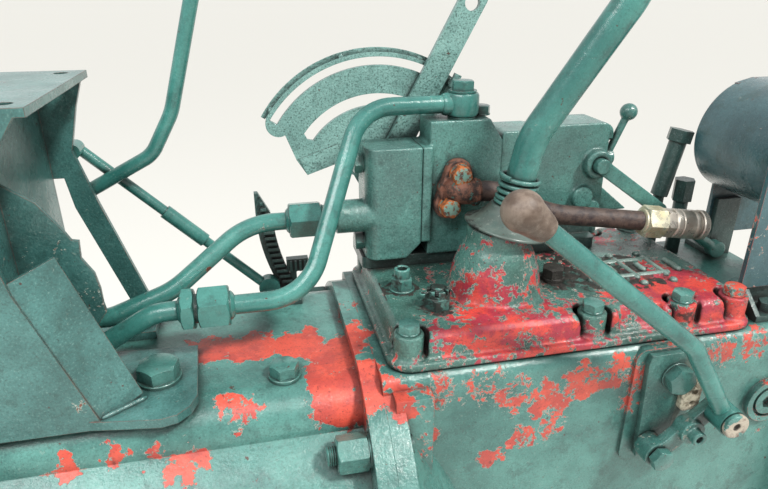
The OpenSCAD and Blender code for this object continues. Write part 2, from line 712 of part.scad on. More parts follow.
// Gear lever with its ball, finger and bent rod
module gear_lever() color(paint) difference() {
    union() {
        translate(ball) sphere(ball_r, $fn = 96);
        bar(ball - lever_dir * 34, ball, 8);
        bar(ball, ball + lever_dir * (rod_h + 1), neck_r);
        bent_bar([ball + lever_dir * rod_h, lever_bend, lever_turn, lever_end], [70, 80], lever_d / 2);
        bar(lever_end - unit(lever_end - lever_turn), lever_end + unit(lever_end - lever_turn) * 22, 7);
    }
    y_bar(ball[1] - 40, ball[1] + 40, cross_pin_d / 2 + running_fit, ball[0], ball[2]);
}

// Round knob on the lever's end
module gear_knob() color([0.08, 0.08, 0.08]) {
    z = unit(lever_end - lever_turn);
    x = frame_x(z);
    multmatrix(columns(x, cross(z, x), z, lever_end)) difference() {
        union() {
            translate([0, 0, 24]) sphere(21);
            cylinder(h = 14, r1 = lever_d / 2, r2 = 15);
        }
        translate([0, 0, -1]) cylinder(h = 23.2, r = 7.1);
    }
}

// Dished dust cap that the spring holds on the tower
module dust_cap() color(dark_paint) {
    x = [cos(lever_lean), 0, -sin(lever_lean)];
    multmatrix(columns(x, [0, 1, 0], lever_dir, ball)) difference() {
        rotate_extrude() polygon([[lever_d / 2 + 0.2, cap_brim_h], [cap_r - 1, cap_brim_h], [cap_r, cap_brim_h + 1.5],
            [cap_r - 1, cap_brim_h + 3], [32, cap_brim_h + 8], [22, cap_top_h - 5], [19, cap_top_h],
            [lever_d / 2 + 0.2, cap_top_h]]);
        sphere(cap_inner_r, $fn = 96);
    }
}

// Wire of a coil spring with closed ends, as rings of points joined by quads
module coil(mean_r, wire_d, height, turns, end_grow) {
    per_turn = 20;
    sides = 8;
    steps = per_turn * turns;
    rise = height - wire_d;
    points = [for (i = [0:steps], k = [0:sides - 1])
        let (a = 360 * i / per_turn, b = 360 * k / sides, t = i / steps,
            grow = end_grow * max(0, (t * turns - turns + 1)), r = mean_r + grow + wire_d / 2 * cos(b))
        [r * cos(a), r * sin(a), wire_d / 2 + rise * t + wire_d / 2 * sin(b)]];
    sides_of = [for (i = [0:steps - 1], k = [0:sides - 1])
        [i * sides + k, (i + 1) * sides + k, (i + 1) * sides + (k + 1) % sides, i * sides + (k + 1) % sides]];
    ends = [[for (k = [0:sides - 1]) k], [for (k = [sides - 1:-1:0]) steps * sides + k]];
    polyhedron(points, concat(sides_of, ends), convexity = 10);
}

// Spring over the dust cap, under a washer on the lever
module cap_spring() color(paint) {
    x = [cos(lever_lean), 0, -sin(lever_lean)];
    multmatrix(columns(x, [0, 1, 0], lever_dir, ball + lever_dir * (cap_top_h + 0.2)))
        coil(lever_d / 2 + 0.6 + spring_wire / 2, spring_wire, spring_h, spring_turns, 1.5);
}

// Fixed plate of the range lever, with its pale detent strip and peg
module range_plate() color(paint) {
    difference() {
        along_y(-plate_y, -pad_y) polygon([[pivot[0] - 8, 92], [pivot[0] + 12, 92], [pivot[0] + 34, 148],
            [pivot[0] + 34, 196], [pivot[0] + 24, 205], [pivot[0] - 11, 205], [pivot[0] - 13, 196]]);
        y_bar(-plate_y - 1, -pad_y + 1, 8.3, plate_bolt[0], plate_bolt[2]);
        y_bar(-plate_y - 1, -pad_y + 1, 8.3, pivot[0], pivot[2]);
    }
    difference() {
        along_y(-plate_y - detent_t, -plate_y) round_rect([pivot[0] + 24, 143], [pivot[0] + 44, 182], 6);
        for (z = [150, 162])
            y_bar(-plate_y - detent_t - 1, -plate_y + 1, 3.2, pivot[0] + 37, z);
        y_bar(-plate_y - 9, -plate_y + 1, 14.5, plate_bolt[0], plate_bolt[2]);
    }
    y_bar(-plate_y - detent_t - 5, -plate_y - detent_t, 4.5, pivot[0] + 36, 175);
}

// Plate bolt and pivot bolt of the range lever
module range_bolts() color(paint) {
    y_bar(-plate_y, -case_half + 10, 7.9, plate_bolt[0], plate_bolt[2]);
    hex_y(-plate_y - 13, -plate_y, range_bolt_af, plate_bolt[0], plate_bolt[2], 15);
    y_bar(-arm_y1 - 1, -case_half + 10, 7.9, pivot[0], pivot[2]);
    hex_y(-arm_y1 - 9, -arm_y1 - 1, 19, pivot[0], pivot[2], 10);
}

// Arm of the range lever with its hub, clamp boss and pin boss
module range_arm() color(dark_paint) difference() {
    union() {
        flat_link(pivot, clamp, 17, -arm_y1, -arm_y0);
        flat_link(clamp, range_pin, 17, -arm_y1, -arm_y0);
        y_bar(-arm_y1, -plate_y - 0.4, 13, pivot[0], pivot[2]);
        y_bar(-arm_y1 - 5, -arm_y0, 12, clamp[0], clamp[2]);
        y_bar(-arm_y1 - 14, -arm_y1 - 5, 7, clamp[0], clamp[2]);
        y_bar(-rod_y - 11, -arm_y0, 6.9, range_pin[0], range_pin[2]);
        y_bar(-rod_y - 16, -rod_y - 11, 12, range_pin[0], range_pin[2]);
    }
    y_bar(-arm_y1 - 1, -plate_y + 1, 7.9 + running_fit, pivot[0], pivot[2]);
    y_bar(-rod_y - 17, -rod_y - 12, 3.5, range_pin[0], range_pin[2]);
    y_bar(-arm_y1 - 15, -arm_y1 - 9, 3.5, clamp[0], clamp[2]);
}

// Bent rod of the range lever with the eye at its foot
module range_rod() color(paint) difference() {
    union() {
        bent_bar([for (p = [range_top, range_bend, range_pin]) [p[0], -rod_y, p[2]]], [38], range_rod_d / 2);
        y_bar(-rod_y - 10.7, -arm_y1 - 0.3, 13, range_pin[0], range_pin[2]);
    }
    y_bar(-rod_y - 20, -arm_y1 + 1, 7, range_pin[0], range_pin[2]);
}

// Worn pear-shaped grip
module range_knob() color(brown) {
    z = unit(range_top - range_bend);
    multmatrix(columns([0, 1, 0], cross(z, [0, 1, 0]), z, [range_top[0], -rod_y, range_top[2]]))
        rotate_extrude() difference() {
            union() {
                polygon([[0, 0], [range_rod_d / 2 + 1.5, 0], [11, 4], [15.2, 26], [0, 26]]);
                translate([0, 26]) circle(15.5);
            }
            translate([-40, -10]) square([40, 80]);
        }
}

// Bracket that carries the valve over the far half of the cover
module valve_bracket() color(dark_paint) difference() {
    union() {
        translate([0, 0, cover_z]) linear_extrude(valve_bracket_t)
            round_rect([end_x0 - 3, valve_near_y + 9], [bracket_x1, cover_half + 2], 8);
        box([right_x0 + 4, right_near_y + 5, bracket_z], [bracket_x1, right_near_y + 21, right_z0]);
        along_y(quadrant_y + quadrant_t, quadrant_y + quadrant_t + 6) translate([hand_pivot[0], 0])
            polygon([[5, bracket_z], [50, bracket_z], [50, hand_pivot[2] + 20], [-11, hand_pivot[2] + 20],
                [-11, bracket_z + 30], [5, bracket_z + 16]]);
    }
    for (dx = cover_bolt_dx)
        z_bar(cover_z - 1, bracket_z + 1, cover_bolt_r + seat_gap, cover_x0 + dx, cover_bolt_y);
    y_bar(quadrant_y, quadrant_y + quadrant_t + 7, 8 + running_fit, hand_pivot[0], hand_pivot[2]);
}

// End casting of the valve with its bevelled corner and inlet boss
module valve_end() color(paint) difference() {
    union() {
        translate([0, 0, bracket_z]) linear_extrude(valve_end_h) {
            translate([end_x0 + 14, valve_near_y]) square([end_x1 - end_x0 - 14, valve_depth]);
            translate([end_x0, valve_near_y + 14]) square([20, valve_depth - 14]);
            translate([end_x0 + 14, valve_near_y + 14]) circle(14);
        }
        x_bar(inlet_x + 6, end_x0 + 20, 16.5, inlet_y, inlet_z);
    }
    translate([end_x1 + 8, 0, bracket_z - 8]) rotate([0, 45, 0]) box([-22, 0, -22], [22, 200, 22]);
    x_bar(inlet_x - 1, end_x0 + 18, 8, inlet_y, inlet_z);
}

// Middle of the valve: seam flange and the taller casting with a bevelled shoulder
module valve_body() color(paint) difference() {
    union() {
        box([end_x1, valve_near_y, bracket_z + 16], [body_x1, valve_far_y, bracket_z + valve_end_h]);
        along_y(flange_face_y, valve_far_y) polygon([[body_x1 - 2, bracket_z], [mid_x1, bracket_z],
            [mid_x1, banjo_z - 22], [mid_x1 - 14, banjo_z], [body_x1 - 2, banjo_z]]);
    }
    y_bar(valve_near_y - 1, flange_face_y + 12, return_r - 3, banjo_x - 13, return_z + 2);
}

// Spool block on the right, in two halves with a gasket seam, and its shaft boss
module valve_spool_block() color(paint) {
    along_y(right_near_y, right_far_y) round_rect([right_x0, right_z0], [right_seam, right_z1 - 4], 5);
    box([right_seam - 1, right_near_y + 1, right_z0 + 1], [right_seam + 2.5, right_far_y - 1, right_z1 - 5]);
    difference() {
        along_y(right_near_y, right_far_y) round_rect([right_seam + 1.5, right_z0], [right_x1, right_z1], 7);
        y_bar(right_near_y - 1, right_near_y + 22, 8 + running_fit, link_top[0], link_top[2]);
    }
    y_bar(right_near_y - 6, right_near_y + 1, 12, link_top[0] - 12, link_top[2] - 36);
    y_bar(right_near_y - 4, right_near_y + 1, 9, link_top[0] + 2, link_top[2] - 50);
    along_y(right_near_y + 9, right_near_y + 13)
        polygon([[right_x1 - 2, right_z0 + 4], [right_x1 + 40, right_z0 + 4], [right_x1 - 2, right_z0 + 38]]);
    difference() {
        y_bar(right_near_y - 10, right_near_y, 15, link_top[0], link_top[2]);
        y_bar(right_near_y - 11, right_near_y + 1, 8 + running_fit, link_top[0], link_top[2]);
    }
}

// Hexagon bolts of the valve, each seated on its casting
module valve_bolts() color(paint) {
    for (z = [bracket_z + 16, bracket_z + 96])
        hex_x(end_x0 - 9, end_x0, 17, valve_near_y + 22, z, 30);
    hex_z(banjo_z, banjo_z + 9, 17, mid_x1 - 16, valve_near_y + 30);
    hex_x(right_x1, right_x1 + 8, 15, right_near_y + 14, right_z1 - 14);
}

// Rusty oval flange with its two bolts and elbow boss
module return_flange() color(rust) {
    difference() {
        union() {
            flat_link([banjo_x - 8, 0, return_z + 18], [banjo_x - 18, 0, return_z - 14], 27,
                flange_face_y - 10, flange_face_y);
            y_bar(return_y - 12, flange_face_y, 13, banjo_x - 13, return_z + 2);
            x_bar(banjo_x - 13, return_route[0][0], 12.5, return_y, return_z);
        }
        y_bar(return_y, flange_face_y + 1, return_r - 3, banjo_x - 13, return_z + 2);
    }
    for (p = [[banjo_x - 8, return_z + 18], [banjo_x - 18, return_z - 14]])
        hex_y(flange_face_y - 21, flange_face_y - 10, 17, p[0], p[1], 12);
}

// Bare rusty pipe behind the gear lever
module return_pipe() color(brown) bent_bar(return_route, [50, 120], return_r);

// Brass nut at the end of the return pipe
module coupling_nut() color(brass) {
    bar(return_end, return_end + coupling_dir * 22, 15 / cos(30), 6);
}

// Quick coupling with its hexagon and sliding sleeve
module quick_coupling() color(steel) {
    z = coupling_dir;
    x = frame_x(z);
    multmatrix(columns(x, cross(z, x), z, return_end + z * 22)) difference() {
        union() {
            cylinder(h = 10, d = 27 / cos(30), $fn = 6);
            translate([0, 0, 10]) cylinder(h = 26, d = coupling_d - 1);
            translate([0, 0, 36]) cylinder(h = 4, d = coupling_d - 6);
            translate([0, 0, 40]) cylinder(h = 7, d = coupling_d);
        }
        translate([0, 0, 16]) cylinder(h = 40, d = 18);
    }
}

// Banjo fitting on the middle casting with its hexagon bolt
module banjo() color(paint) {
    z_bar(banjo_z, banjo_z + 26, 16, banjo_x, banjo_y);
    hex_z(banjo_z + 26, banjo_z + 35, 19, banjo_x, banjo_y, 20);
    x_bar(upper_route[0][0], banjo_x, 10.5, banjo_y, banjo_z + 13);
}

// Pipe from the banjo, swept down to the union by the deck
module upper_pipe() color(paint) {
    bent_bar(upper_route, [44, 50], pipe_r);
    bar(upper_route[3], upper_route[3] - [union_nut_len, 0, 0], 17 / cos(30), 6);
}

// Second union nut and the pipe that goes on into the stand
module union_pipe() color(paint) {
    bent_bar(union_route, [40, 30], pipe_r);
    bar(union_route[0] - [3, 0, 0], union_route[0] - [14, 0, 0], 17 / cos(30), 6);
}

// Inlet adaptor on the valve
module inlet_fitting() color(paint) {
    x_bar(inlet_x - 8, inlet_x + 6, 13, inlet_y, inlet_z);
    hex_x(inlet_nut_x, inlet_x - 8, 32, inlet_y, inlet_z, 15);
}

// Pipe from the inlet to the stand
module inlet_pipe() color(paint) bent_bar(inlet_route, [70, 70, 30], pipe_r);

// Clamp lever of the spool and its long link rod to the rear
module link_lever() color(paint) {
    y0 = right_near_y - 16;
    y_bar(y0 - 2, right_near_y + 20, 8, link_top[0], link_top[2]);
    flat_link(link_top, link_mid, 15, y0, right_near_y - 10.4);
    bar([link_mid[0], y0 + 3, link_mid[2]], [link_end[0], y0 + 8, link_end[2]], 6);
    y_bar(y0 + 2, y0 + 14, 10, link_end[0], link_end[2]);
}

// Small paddle lever at the end of the spool block
module paddle_lever() color(paint) {
    foot = [right_x1 + 6, right_near_y + 12, right_z1 - 40];
    tip = [right_x1 + 24, right_near_y + 10, right_z1 + 8];
    x_bar(right_x1, right_x1 + 12, 8, foot[1], foot[2]);
    bar(foot, tip, 4);
    translate(tip) sphere(9);
}

// Ring between two radii, from angle a to angle b
module ring_part(r0, r1, a, b) {
    mid = (a + b) / 2;
    difference() {
        intersection() {
            circle(r1, $fn = 96);
            polygon([[0, 0], for (t = [a, (a + mid) / 2, mid, (mid + b) / 2, b]) 2 * r1 * [cos(t), sin(t)]]);
        }
        circle(r0, $fn = 96);
    }
}

// Slotted quadrant plate with its foot, the thin strip behind it and the stop bolt
module quadrant() color(paint) {
    near = quadrant_y;
    far = quadrant_y + quadrant_t;
    pivot_at = [hand_pivot[0], hand_pivot[2]];
    along_y(near, far) translate(pivot_at) difference() {
        union() {
            ring_part(quadrant_r - quadrant_w, quadrant_r, 50, 147);
            translate(117 * [cos(146.5), sin(146.5)]) circle(quadrant_r - 117.5);
            ring_part(20, 79.5, 50, 150);
            ring_part(7, 45, -20, 160);
            polygon([[-92, 54], [-82, 28], [-72, 12], [-33, 25], [-10, -18], [12, -18], [12, 20], [-30, 46], [-56, 45],
                [-70, 48], [-76, 60], [-84, 66]]);
        }
        ring_part(slot_r - slot_w / 2, slot_r + slot_w / 2, 57, 147);
        circle(8 + running_fit);
    }
    // Turned-out foot of the plate
    along_y(near - 1, near + 1) translate(pivot_at) polygon([[-79, 29], [-72, 12], [-33, 25], [-40, 42]]);
    along_y(far + 3, far + 5) translate(pivot_at) ring_part(quadrant_r - 0.5, quadrant_r + 4, 58, 148);
    for (a = [70, 105, 143])
        y_bar(near + 1, far + 4, 2.5, pivot_at[0] + (quadrant_r - 0.2) * cos(a), pivot_at[1] + (quadrant_r - 0.2) * sin(a));
    stop = pivot_at + (slot_r + 3) * [cos(52.5), sin(52.5)];
    y_bar(near - 7, near + 1, 4.2, stop[0], stop[1]);
    along_y(near - 12, near - 7) translate(stop) rotate(-25) translate([-3, -4]) square([7, 14]);
}

// Flat hydraulic hand lever with its pivot shaft and clamp bolt through the slot
module hand_lever() color(paint) {
    a = hand_bar_lean;
    top = hand_pivot + [(hand_bar_len + 6) * sin(a), 0, (hand_bar_len + 6) * cos(a)];
    hole = hand_pivot + [hand_bar_len * sin(a), 0, hand_bar_len * cos(a)];
    stop = hand_pivot + [slot_r * sin(a), 0, slot_r * cos(a)];
    difference() {
        flat_link(hand_pivot, top, hand_bar_w, hand_bar_y, hand_bar_y + hand_bar_t);
        y_bar(hand_bar_y - 1, hand_bar_y + 10, 7.5, hole[0], hole[2]);
    }
    y_bar(valve_far_y + 0.4, quadrant_y + quadrant_t + 5, 8, hand_pivot[0], hand_pivot[2]);
    y_bar(hand_bar_y + 1, quadrant_y + quadrant_t + 5, 3.4, stop[0], stop[2]);
    hex_y(quadrant_y + quadrant_t + 0.4, quadrant_y + quadrant_t + 6, 10, stop[0], stop[2]);
}

// Front edge and width of the tall ribbed pad at a height
function pad_x(z) = pads_x0 + pow(max(0, 290 - z), 2) / 380;
function pad_w(z) = z > 286 ? 17 * (319 - z) / 33 : 17;

// Curved ribbed pads on a foot at the deck's far edge
module brake_sector() color(dark_paint) {
    heights = [for (z = [deck_z + 2:10:deck_z + 92]) z];
    top = [[pad_x(300), 300], [pad_x(312), 312], [pad_x(312) + pad_w(312), 312], [pad_x(300) + pad_w(300), 300]];
    along_y(90, 97)
        polygon(concat([for (z = heights) [pad_x(z), z]], top,
            [for (i = [len(heights) - 1:-1:0]) [pad_x(heights[i]) + pad_w(heights[i]), heights[i]]]));
    for (z = [deck_z + 12:6.4:deck_z + 108])
        box([pad_x(z) + 5, 86, z], [pad_x(z) + pad_w(z + 3) - 0.5, 91, z + 3.2]);
    box([pads_x0 + 28, 88, deck_z + 24], [pads_x0 + 51, 97, deck_z + 38]);
    for (dx = [31:5:48])
        box([pads_x0 + dx, 85, deck_z + 25], [pads_x0 + dx + 2.6, 89, deck_z + 37]);
    box([pads_x0 + 31, 90, deck_z + 2], [pads_x0 + 38, 96, deck_z + 26]);
    box([pads_x0 + 19, 58, deck_z], [pads_x0 + 40, 97, deck_z + 5]);
}

// Thin stay rod with its adjusting sleeve and lower eye
module stay_rod() color(paint) {
    y = stand_far_y + stand_t + 18.6;
    upper = [stand_x1 - 45, y, deck_z + 172];
    lower = [pads_x0 + 2, y, deck_z + 16];
    run = unit(lower - upper);
    bar(upper - run * 2, lower, 5);
    bar(upper + run * 96, upper + run * 144, 7);
    y_bar(stand_far_y + stand_t, y + 1, 7, upper[0], upper[2]);
    y_bar(y - 6, y + 6, 11, lower[0] + 6, deck_z + 12);
    box([lower[0] - 2, 60, deck_z], [lower[0] + 14, y + 6, deck_z + 10]);
}

// Bent tube that rises from the stand's far post
module bent_tube() color(paint) bent_bar([for (p = [[90, 326], [160, 362], [182, 400], [212, 500]])
    [p[0], stand_far_y + stand_t + 6.8, p[1]]], [30, 60], 6.5);

// Front stand: near side sheet with its turned-in edge, far post, torn inner sheet, feet and tank saddle
module front_stand() color(paint) difference() {
    union() {
        along_y(stand_near_y, stand_near_y + stand_t) polygon([[stand_x0, deck_z], [stand_x1 - 15, deck_z],
            [stand_x1 - 15 - 118 * stand_slope, deck_z + 118], [stand_x1 - 61, deck_z + 152],
            [stand_x1 - 52, deck_z + 200], [stand_x1 - 26, stand_z1 - 4], [stand_x0 - 16, stand_z1 - 4],
            [stand_x0 - 20, stand_z1 - 30]]);
        // Turned-in edge along the slope of the near sheet
        translate([stand_x1 - 18, stand_near_y + 0.5, deck_z + 4]) rotate([0, -atan(stand_slope), 0])
            linear_extrude(128) rotate(34) square([37, 4]);
        along_y(stand_far_y, stand_far_y + stand_t) difference() {
            polygon([[stand_x0, deck_z], [stand_x1 + 8, deck_z], [stand_x1 - 30, deck_z + 126],
                [stand_x1 - 43, deck_z + 174], [stand_x1 - 33, deck_z + 212], [stand_x1 - 24, stand_z1 - 4],
                [stand_x0 - 16, stand_z1 - 4], [stand_x0 - 20, stand_z1 - 30]]);
            polygon([[stand_x0 + 36, deck_z + 14], [stand_x1 - 15, deck_z + 14], [stand_x1 - 50, deck_z + 122],
                [stand_x1 - 54, deck_z + 150], [stand_x0 + 36, deck_z + 150]]);
        }
        // Torn sheet inside the stand
        along_y(-62, -59) polygon([[74, deck_z + 6], [108, deck_z + 6], [112, 240], [118, 259], [130, 275],
            [129, 283], [129, 295], [127, 308], [120, 321], [121, 335], [116, 336], [113, 342], [98, 366], [74, 384]]);
        translate([0, 0, deck_z]) linear_extrude(foot_t) polygon([[stand_x1 - 21, -9], [stand_x1 + 48, -13],
            [stand_x1 + 52, -88], [stand_x1 + 47, -101], [stand_x1 + 38, -110], [stand_x1 + 26, -113],
            [stand_x1 - 8, -108], [stand_x1 - 26, stand_near_y]]);
        box([stand_x0 + 4, stand_near_y, deck_z], [stand_x0 + 52, -14, deck_z + foot_t]);
        box([stand_x0 - 6, 20, deck_z], [stand_x1 + 8, stand_far_y + 1, deck_z + foot_t]);
        box([stand_x0 - 20, stand_near_y, stand_z1 - 6], [stand_x1 - 20, stand_far_y + stand_t, stand_z1]);
        box([72, stand_near_y + 1, deck_z + 2], [76, stand_far_y + 1, stand_z1 - 2]);
    }
    z_bar(deck_z - 1, deck_z + foot_t + 1, 10.3, foot_bolt[0], foot_bolt[1]);
    z_bar(deck_z - 1, deck_z + foot_t + 1, 10.3, stand_x0 + 28, foot_bolt[1]);
    for (x = [stand_x0 - 4, stand_x1 - 36], y = [stand_near_y + 16, stand_far_y - 12])
        z_bar(stand_z1 - 10, stand_z1 + 1, saddle_hole_d / 2, x, y);
}

// Large foot bolts of the stand and the bolt in the deck behind them
module stand_bolts() color(paint) {
    z_bar(deck_z, deck_z + 3, 14, foot_bolt[0] + 102, foot_bolt[1] - 8);
    hex_z(deck_z + 3, deck_z + 13, 22, foot_bolt[0] + 102, foot_bolt[1] - 8, 10);
    for (x = [stand_x0 + 28, foot_bolt[0]]) {
        z_bar(deck_z - 14, deck_z + foot_t, 9.9, x, foot_bolt[1]);
        z_bar(deck_z + foot_t, deck_z + foot_t + 3, 18, x, foot_bolt[1]);
        hex_z(deck_z + foot_t + 3, deck_z + foot_t + 15, 30, x, foot_bolt[1], 20);
    }
}

// Seat pedestal: two side sheets and a top between them that rolls down at the front
module seat_pedestal() color(paint) difference() {
    union() {
        along_y(pedestal_near_y + 1, pedestal_far_y - 1) difference() {
            union() {
                translate([roll_x, ped_z1 - pedestal_roll_r]) circle(pedestal_roll_r, $fn = 96);
                translate([roll_x, ped_z1 - pedestal_t]) square([ped_x1 - roll_x, pedestal_t]);
            }
            translate([roll_x, ped_z1 - pedestal_roll_r]) circle(pedestal_roll_r - pedestal_t, $fn = 96);
            translate([roll_x, ped_z1 - 2 * pedestal_roll_r]) square([200, 2 * pedestal_roll_r - pedestal_t]);
        }
        along_y(pedestal_near_y, pedestal_near_y + pedestal_t) polygon([[ped_x0, case_top + 26],
            [ped_x1 - 24, case_top + 26], [ped_x1, case_top + 60], [ped_x1, ped_z1], [roll_x - 6, ped_z1],
            [roll_x - 44, ped_z1 - 12], [ped_x0 + 12, ped_z1 - 40], [ped_x0, ped_z1 - 50]]);
        along_y(pedestal_far_y - pedestal_t, pedestal_far_y) polygon([[ped_x0 + 62, case_top + 26],
            [ped_x1 - 24, case_top + 26], [ped_x1, case_top + 60], [ped_x1, ped_z1], [roll_x - 6, ped_z1],
            [roll_x - 26, ped_z1 - 5]]);
    }
    for (x = [ped_x1 - 65, ped_x1 - 25], y = [-50.5, 39.5])
        z_bar(ped_z1 - 20, ped_z1 + 1, seat_hole_d / 2, x, y);
}

// Dark feet between the pedestal and the case
module pedestal_brackets() color(dark_paint) {
    near = pedestal_near_y + pedestal_t + 0.2;
    far = pedestal_far_y - pedestal_t - 0.2;
    foot_x1 = case_x1 - 4;
    box([ped_x0 + 4, -95, case_top], [foot_x1, near + 6, case_top + 6]);
    box([ped_x0 + 14, near, case_top], [foot_x1, near + 6, case_top + 70]);
    along_x(ped_x0 + 4, ped_x0 + 9) polygon([[-95, case_top + 5], [near + 2, case_top + 5], [near + 2, case_top + 25],
        [near - 6, case_top + 25]]);
    hex_z(case_top + 6, case_top + 15, 17, ped_x0 + 26, -84);
    box([ped_x0 + 66, far - 6, case_top], [foot_x1, 90, case_top + 6]);
    box([ped_x0 + 66, far - 6, case_top], [foot_x1, far, case_top + 70]);
    hex_z(case_top + 6, case_top + 15, 17, ped_x0 + 82, 76);
}

// Pipe fittings that rise from the rear of the case
module lift_fittings() color(dark_paint) {
    x = cover_x1 + 7.5;
    y = 76;
    z_bar(case_top, case_top + 76, 6, x, y);
    bar([x, y, case_top + 72], [x + 12, y, case_top + 135], 9.5);
    bar([x + 12, y, case_top + 134], [x + 14.5, y, case_top + 147], 12 / cos(30), 6);
    z_bar(case_top, case_top + 66, 8, x + 28, y - 4);
    hex_z(case_top + 65, case_top + 90, 20, x + 28, y - 4);
}

clutch_housing();
release_shaft();
release_fork();
release_sleeve();
bearing_retainer();
input_bearing();
input_shaft();
inspection_plate();
gearbox_case();
side_cover();
drain_plug();
pinion_bearing();
pinion_shaft();
gear_cover();
cover_bolts();
filler_plug();
joint_nuts();
lever_cross_pin();
gear_lever();
gear_knob();
dust_cap();
cap_spring();
range_plate();
range_bolts();
range_arm();
range_rod();
range_knob();
valve_bracket();
valve_end();
valve_body();
valve_spool_block();
valve_bolts();
return_flange();
return_pipe();
coupling_nut();
quick_coupling();
banjo();
upper_pipe();
inlet_fitting();
inlet_pipe();
union_pipe();
link_lever();
paddle_lever();
quadrant();
hand_lever();
brake_sector();
stay_rod();
bent_tube();
front_stand();
stand_bolts();
seat_pedestal();
pedestal_brackets();
lift_fittings();
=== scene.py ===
"""Dresses the tractor gearbox unit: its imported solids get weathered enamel, bare steel and rust, its castings
get softly rounded edges, and its bolts, nuts, spring, cap, unions and couplings are modelled in full.

Places in this file are in mm in the part's frame: +X to the tractor's rear, +Y to its right, +Z up."""

import contextlib
import functools
import json
import math

import bpy
from mathutils import Matrix, Vector
from mathutils import noise as field


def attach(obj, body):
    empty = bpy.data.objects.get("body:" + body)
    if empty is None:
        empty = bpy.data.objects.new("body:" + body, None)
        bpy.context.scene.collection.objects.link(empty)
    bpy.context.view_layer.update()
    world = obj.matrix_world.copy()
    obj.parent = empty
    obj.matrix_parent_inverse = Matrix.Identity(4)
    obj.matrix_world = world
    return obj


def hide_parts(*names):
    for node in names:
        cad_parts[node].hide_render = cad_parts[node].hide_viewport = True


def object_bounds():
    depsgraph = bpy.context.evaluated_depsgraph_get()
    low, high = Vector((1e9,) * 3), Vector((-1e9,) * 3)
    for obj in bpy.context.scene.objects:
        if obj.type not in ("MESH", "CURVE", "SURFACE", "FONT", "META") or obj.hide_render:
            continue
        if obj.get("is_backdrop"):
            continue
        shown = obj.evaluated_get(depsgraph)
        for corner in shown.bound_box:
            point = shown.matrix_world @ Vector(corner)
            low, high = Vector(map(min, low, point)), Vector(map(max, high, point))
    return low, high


bl_info = {
    "name": "Tractor gearbox unit",
    "version": (1, 1, 0),
    "blender": (4, 5, 0),
    "location": "View3D > Sidebar > Gearbox",
    "description": "Weathered finishes and modelled fittings for a tractor gearbox unit",
    "category": "Object",
}

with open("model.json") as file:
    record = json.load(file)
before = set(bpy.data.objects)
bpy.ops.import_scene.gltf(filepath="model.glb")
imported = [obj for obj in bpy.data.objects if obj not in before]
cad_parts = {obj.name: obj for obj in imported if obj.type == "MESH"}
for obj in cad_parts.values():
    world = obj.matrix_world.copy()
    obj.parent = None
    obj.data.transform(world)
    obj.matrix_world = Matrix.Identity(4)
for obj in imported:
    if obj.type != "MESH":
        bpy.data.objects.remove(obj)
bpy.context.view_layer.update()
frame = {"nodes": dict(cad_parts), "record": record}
NODES = frame["nodes"]
NODE_BODY = {node: body for body, nodes in frame["record"]["behaviour"]["bodies"].items() for node in nodes}
SLOTS = {row["node"]: row["material_slot"] for row in frame["record"]["subparts"]}
MM = 0.001


# Colours and sizes


def srgb(code):
    """Linear colour of an sRGB hex value."""
    parts = [int(code[i : i + 2], 16) / 255 for i in (1, 3, 5)]
    return tuple(p / 12.92 if p <= 0.04045 else ((p + 0.055) / 1.055) ** 2.4 for p in parts) + (1.0,)


def tint(label, text, code):
    """A colour property with its default as an sRGB hex value."""
    return bpy.props.FloatVectorProperty(
        name=label, description=text, subtype="COLOR", size=4, min=0.0, max=1.0, default=srgb(code))


def length(label, text, value_mm):
    """A length property with its default in mm."""
    return bpy.props.FloatProperty(
        name=label, description=text, unit="LENGTH", min=0.0, precision=5, default=value_mm * MM)


class GearboxLook(bpy.types.PropertyGroup):
    """Colours and sizes of the finishes and fittings"""

    enamel: tint("Enamel", "Teal enamel where light has bleached it", "#5E988F")
    enamel_shade: tint("Enamel shade", "Teal enamel in its darker, greasier patches", "#396963")
    enamel_dark: tint("Dark enamel", "Enamel on the grimy fittings", "#3C5B57")
    chalk: tint("Chip rim", "Pale lifted rim round a chip", "#C9D2C6")
    coral: tint("Coral undercoat", "Undercoat that shows in the housing's chips", "#D45341")
    coral_deep: tint("Deep coral", "Older undercoat in the same chips", "#B6443A")
    crimson: tint("Crimson undercoat", "Undercoat that shows on the gear cover", "#A62C40")
    oxide: tint("Oxide", "Dark red primer and rust in the deepest chips", "#5C241F")
    # The dirt colour also paints the shade in corners and seams
    dirt: tint("Dirt", "Oily dirt in seams and round the fittings", "#171310")
    rust: tint("Rust", "Dry orange rust", "#B9672F")
    rust_dark: tint("Old rust", "Brown-black rust and scale", "#4A3028")
    steel: tint("Steel", "Worn bare steel", "#A9A196")
    steel_dark: tint("Stained steel", "Bare steel under dried oil", "#6F675C")
    edge_radius: length("Edge radius", "Radius that thick paint gives a sharp edge", 1.2)
    casting_voxel: length("Casting grain", "Voxel size of the remeshed castings", 1.6)
    thread_pitch: length("Thread pitch", "Pitch of the stud threads", 1.75)
    weld_radius: length("Weld radius", "Radius of the weld beads", 2.6)
    crust_height: length("Crust height", "Greatest height of the dirt on the cover", 3.2)
    head_chamfer: bpy.props.FloatProperty(
        name="Head chamfer", description="Angle of the turned chamfer on hexagons", unit="ROTATION",
        min=0.2, max=0.9, default=math.radians(30))
    casting_rounds: bpy.props.IntProperty(
        name="Casting smoothing", description="Smoothing rounds of the castings", min=0, max=20, default=5)


def look():
    """The scene's colours and sizes."""
    return bpy.context.scene.gearbox_look


# Shader helpers

